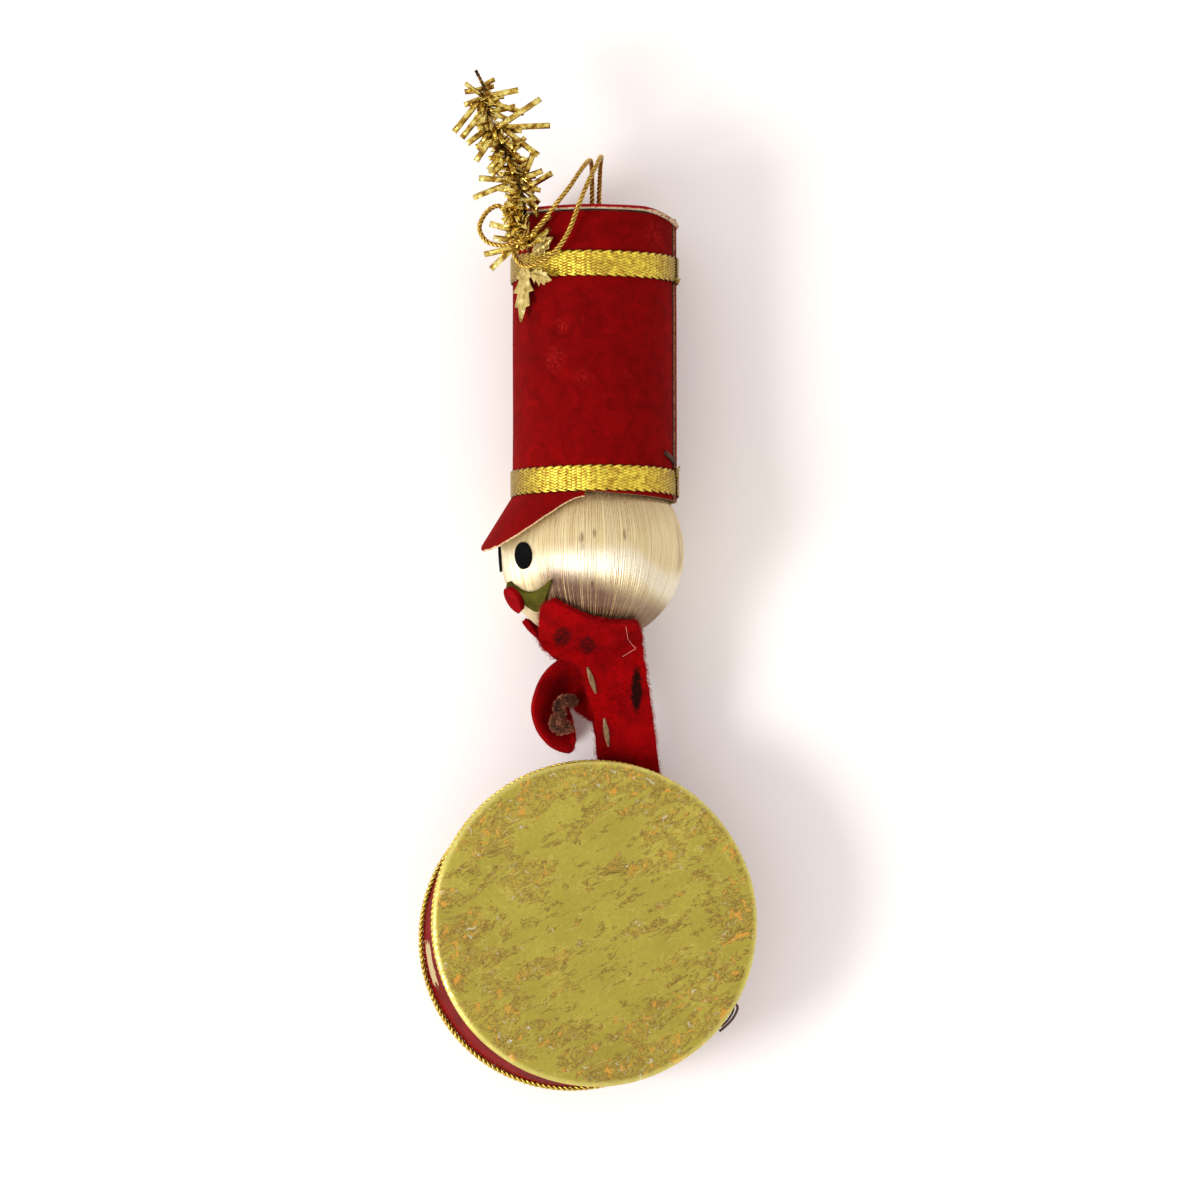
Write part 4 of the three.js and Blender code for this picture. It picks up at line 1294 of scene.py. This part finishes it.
crowd = 200
for k in range(crowd):
    share = 0.05 + 0.86 * random.betavariate(1.7, 1.5)
    foot = along_line(wire_route, share)
    ahead = (along_line(wire_route, share + 0.03) - along_line(wire_route, share - 0.03)).normalized()
    out = strip_direction(ahead, random.uniform(0, math.tau))
    out = (out - ahead * random.uniform(-0.5, 1.6)).normalized()
    if foot.y < mm(152):
        out.z = abs(out.z)
        out.x = -abs(out.x)
        out.normalize()
    across = out.cross(Vector((random.uniform(-0.7, 0.7), random.uniform(-0.7, 0.7), 1.2))).normalized()
    reach = mm(random.uniform(3.4, 6.3)) * (0.7 if share > 0.82 else 1)
    width = strip_width * random.uniform(0.8, 1)
    tinsel_ribbon(plume_form, foot, out, across, reach, width, random.uniform(-0.9, 0.9))
plume_mesh = mesh_from(plume_form, "tinsel_plume")
store_lift(plume_mesh, wire_route, mm(5))
plume = add_piece("tinsel_plume", plume_mesh, plume_foil, slot="tinsel", replaces=["plume"])
thicken(plume, mm(0.06))
wire_mesh = thread_mesh("twisted_wire", twisted(wire_route, 2, mm(0.22), mm(1.6)), mm(0.24), 6)
add_piece("twisted_wire", wire_mesh, wire_finish, slot="tinsel")
print("plume strips:", crowd + len(placed_strips))

# %% [markdown]
# Three small holly leaves of embossed foil hide the plume's foot. A leaf is a flat outline with spikes,
# whose middle rib and side veins are pressed up, laid against the braid.

# %% The foil leaves
leaf_foil = tinsel_foil(
    "leaf_foil",
    [
        (0.3, srgb(150, 126, 62)), (0.45, srgb(192, 170, 98)),
        (0.58, srgb(214, 196, 124)), (0.72, srgb(246, 236, 180)),
    ],
    0.3,
)


def leaf_half_width(share, half_width, spikes=4):
    """Half the leaf's width at a share of its length, with spikes that point to its tip."""
    body = math.sin(math.pi * min(1, share * 0.92 + 0.06))
    saw = (share * spikes) % 1
    return half_width * (0.25 + 0.75 * body) * (0.5 + 0.5 * saw**1.6) * (1 - share**6) + mm(0.12)


def add_leaf(name, node, azimuth, height, heading, layer, length, half_width):
    def surface(u, v):
        side = 2 * u - 1
        half = leaf_half_width(v, half_width)
        x = side * half
        y = v * length
        rib = mm(0.3) * math.exp(-((side * 4) ** 2))
        vein = mm(0.07) * math.cos(math.tau * (v * 9 - abs(side) * 2)) * (1 - abs(side))
        lift = rib + vein + mm(0.5) * abs(side) ** 2 * v + mm(0.6) * v * v
        c, s = math.cos(heading), math.sin(heading)
        px, py = x * c - y * s, x * s + y * c
        radius = braid_outside + gap + layer * mm(0.6)
        out = Vector((-math.sin(azimuth), 0, math.cos(azimuth)))
        along = Vector((math.cos(azimuth), 0, math.sin(azimuth)))
        base = Vector((hat_side_shift, height + py, 0))
        return hat_place @ (base + out * (radius + lift) + along * px)

    mesh = sheet_mesh(name, surface, 18, 60)
    # Lift grows from the leaf's foot, so the leaf gets a painted shade there.
    store_lift(mesh, [surface(0.5, 0)], mm(2))
    thicken(add_piece(name, mesh, leaf_foil, slot="tinsel", replaces=[node]), mm(0.12))


leaves = (
    ("foil_leaf_down", "leaf_pointing_down", 55, upper_braid_start + mm(3.2), 180, 0, mm(12), mm(3.6)),
    ("foil_leaf_right", "leaf_pointing_right", 47, upper_braid_start + mm(0.8), 255, 1, mm(7), mm(2)),
    ("foil_leaf_up", "leaf_pointing_up", 47, upper_braid_start + mm(5.4), 290, 0, mm(7), mm(2.2)),
)
for name, node, azimuth, height, heading, layer, length, half_width in leaves:
    add_leaf(name, node, math.radians(azimuth), height, math.radians(heading), layer, length, half_width)
print("leaves:", len(leaves))

# %% [markdown]
# The hand is a bent piece of tan chenille: a wire with short soft fibres all round it. The fibres are
# thin tapering threads, and there are enough of them to hide the wire.

# %% The chenille hand
hand_points = (
    (0.2, 49.4, 15.5), (-0.8, 49.4, 18.2), (-2.2, 49.2, 20.6), (-3.2, 47.9, 21.6), (-2.7, 46.4, 21.8),
    (-3.6, 45.4, 22), (-4, 44.4, 22.5), (-3.3, 43.5, 22.8), (-1.9, 43.5, 22.6), (-0.7, 44.1, 22.2),
)
hand_route = route_through(hand_points, 8)


def chenille():
    finish = Finish("tan_chenille", Roughness=0.85, Sheen_Weight=0.05, Specular_IOR_Level=0.1)
    tone = finish.grain(finish.place(), 1.1, 4, 0.6).step(0.35, 0.65)
    # The fibres get a painted shade at their roots round the wire and are lighter at their tips.
    tips = finish.stored("lift").step(0.55, 1.05)
    light = finish.mix(srgb(112, 54, 36), srgb(196, 126, 92), tone)
    finish.give("Base Color", finish.mix(srgb(34, 12, 9), light, tips))
    return finish


fibre_count = 3600
fibre_reach = mm(1.35)
fibres = []
for k in range(fibre_count):
    share = k / fibre_count
    foot = along_line(hand_route, share)
    ahead = (along_line(hand_route, share + 0.02) - along_line(hand_route, share - 0.02)).normalized()
    out = strip_direction(ahead, random.uniform(0, math.tau)) + ahead * random.uniform(-0.25, 0.25)
    ridge = 0.72 + 0.28 * abs(math.sin(math.pi * share * 22))
    reach = fibre_reach * ridge * random.uniform(0.9, 1.05)
    bend = Vector([random.uniform(-0.12, 0.12) for _ in range(3)])
    fibres.append([foot, foot + out * reach * 0.55, foot + (out + bend) * reach])
hand_mesh = thread_mesh("chenille_hand", fibres + [hand_route], mm(0.05), 4)
store_lift(hand_mesh, hand_route, fibre_reach)
add_piece("chenille_hand", hand_mesh, chenille(), slot="chenille", replaces=["near_hand"])
print("hand fibres:", len(fibres))

# %% [markdown]
# Two long running stitches of tan thread hold the coat's layers together. Each is a bundle of a few
# threads side by side that goes in at one end and out at the other, so it is lens-shaped.

# %% The stitches
tan_tones = (srgb(96, 60, 28), srgb(146, 110, 62))
tan_thread = two_tone("tan_thread", *tan_tones, 0.4, Roughness=0.55, Sheen_Weight=0.3)
for name, node, start, end in (
    ("thread_upper_stitch", "upper_stitch", mm(2.7, 56.1, 0), mm(4.5, 50.8, 0)),
    ("thread_lower_stitch", "lower_stitch", mm(6.3, 45.7, 0), mm(7.3, 39.9, 0)),
):
    run = end - start
    side = Vector((-run.y, run.x, 0)).normalized()
    threads = []
    for strand in range(5):
        lane = (strand - 2) / 2
        path = []
        for k in range(15):
            share = k / 14
            bulge = math.sin(math.pi * share)
            point = start + run * share + side * lane * mm(0.36) * (0.15 + bulge)
            lift = coat_thickness * 0.375 + mm(0.12) + mm(0.3) * bulge * (1 - 0.5 * lane * lane)
            point.z = near_height(point.x, point.y) + lift
            path.append(point)
        threads.append(path)
    add_piece(name, thread_mesh(name, threads, mm(0.14), 6), tan_thread, slot="tan_thread", replaces=[node])
print("stitches are sewn")

# %% [markdown]
# Loose fibres make felt look like felt. They start on the sheets' faces and edges, most of them near the
# edges, lie nearly flat and curl. Each is a thin thread of three points.

# %% Loose fibres
fibre_radius = mm(0.018)
edge_share = 0.75
side_share = 0.75


def sheet_fibres(name, surface, count, finish, outward, spread):
    """Fibres on a sheet. surface(u, v) is its middle, and most fibres start at an edge of it."""
    threads = []
    for _ in range(count):
        u, v = random.random(), random.random()
        if random.random() < edge_share:
            if random.random() < side_share:
                u = random.choice((0.0, 1.0))
            else:
                v = 0.0
        foot = surface(u, v)
        step = 0.01
        du = surface(min(1, u + step), v) - surface(max(0, u - step), v)
        dv = surface(u, min(1, v + step)) - surface(u, max(0, v - step))
        normal = du.cross(dv).normalized() * outward
        drift = Vector([random.uniform(-1, 1) for _ in range(3)]).normalized()
        foot = foot + normal * mm(random.uniform(-0.5, 0.65))
        aside = du.normalized() * (2 * (u > 0.5) - 1) * 0.6
        out = (normal * random.uniform(-0.2, 0.5) + drift + aside) * spread
        curl = Vector([random.uniform(-1, 1) for _ in range(3)]) * spread * 0.5
        threads.append([foot, foot + out * 0.5 + curl * 0.4, foot + out])
    add_piece(name, thread_mesh(name, threads, fibre_radius, 4), finish, slot="red_felt")


fibre_tones = (srgb(140, 5, 9), srgb(176, 16, 22))
fibre_finish = two_tone(
    "red_fibre", *fibre_tones, 2.0, 2, (0.3, 0.7), Roughness=0.85, Specular_IOR_Level=0.1
)
sheet_fibres("near_coat_fibres", near_coat_shape, 4200, fibre_finish, -1, mm(0.5))
sheet_fibres("near_sleeve_fibres", near_sleeve_shape, 1600, fibre_finish, 1, mm(0.5))
sheet_fibres("far_coat_fibres", far_coat_shape, 1400, fibre_finish, -1, mm(0.6))
print("fibres are loose")

# %% [markdown]
# Last come the small accidents of an old ornament: a pale hair on the coat, a knot of dark thread at the
# hat's seam, loops of dark thread at the drum's rim, and the frayed ends of the two braids.

# %% Small threads
def small_thread(name, points, radius, finish, slot):
    add_piece(name, thread_mesh(name, [route_through(points, 8)], mm(radius), 6), finish, slot=slot)


dark_thread = two_tone("dark_thread", srgb(34, 18, 12), srgb(84, 46, 26), 0.5, steps=None, Roughness=0.7)
pale_hair = two_tone("pale_hair", srgb(214, 110, 104), srgb(236, 176, 164), 0.8, 2, None, Roughness=0.4)


def over_coat(x, y, lift):
    return (x, y, near_height(mm(x), mm(y)) * 1000 + lift)


hair_corners = (Vector((10.1, 64.1)), Vector((10.8, 61.8)), Vector((12.5, 59.9)), Vector((9.0, 57.7)))
hair_points = []
for near, far in zip(hair_corners, hair_corners[1:]):
    hair_points += [over_coat(*near.lerp(far, k / 4), 1.9) for k in range(4)]
small_thread("pale_hair_on_coat", hair_points, 0.045, pale_hair, "red_felt")
rim_loop = [
    (32.2, -12.6, 24.4), (33.5, -13.6, 24.4), (33.0, -15.3, 24.4), (31.8, -16.9, 24.4), (29.8, -18.7, 24.4),
]
rim_strand = [(32.9, -12.6, 24), (32.6, -14.6, 24), (31.6, -16.3, 24), (30.2, -17.7, 24)]
small_thread("dark_loop_at_rim", rim_loop, 0.26, dark_thread, "gold_thread")
small_thread("dark_strand_at_rim", rim_strand, 0.2, dark_thread, "gold_thread")


def braid_fray(name, start, low, high, count):
    """Loose ends of a braid at the hat's seam, between two shares of the braid's width."""
    threads = []
    for _ in range(count):
        foot = on_hat(0.03, mm(random.uniform(0.2, 0.6)), start + braid_width * random.uniform(low, high))
        away = Vector((random.uniform(0.1, 1.0), random.uniform(-0.6, 0.6), random.uniform(-0.9, 0.1)))
        middle = foot + away * mm(0.6) + Vector([random.uniform(-0.3, 0.3) for _ in range(3)]) * mm(1)
        threads.append([foot, middle, foot + away * mm(1.3)])
    mesh = thread_mesh(name, threads, mm(0.15), 4)
    store_lift(mesh, [thread[0] for thread in threads], mm(0.5))
    add_piece(name, mesh, braid_gold, slot="gold_thread")


braid_fray("lower_braid_fray", hat_rim, 0.7, 1.05, 9)
braid_fray("upper_braid_fray", upper_braid_start, -0.05, 0.2, 7)
knot_places = [on_hat(0.31 - 0.07 * k, mm(0.35), hat_rim + mm(8.6 - 0.45 * k)) for k in range(5)]
knot_line = smooth_route(knot_places, 8)
knot_paths = twisted(knot_line, 3, mm(0.22), mm(1.9))
add_piece("dark_knot", thread_mesh("dark_knot", knot_paths, mm(0.3), 6), dark_thread, slot="gold_thread")
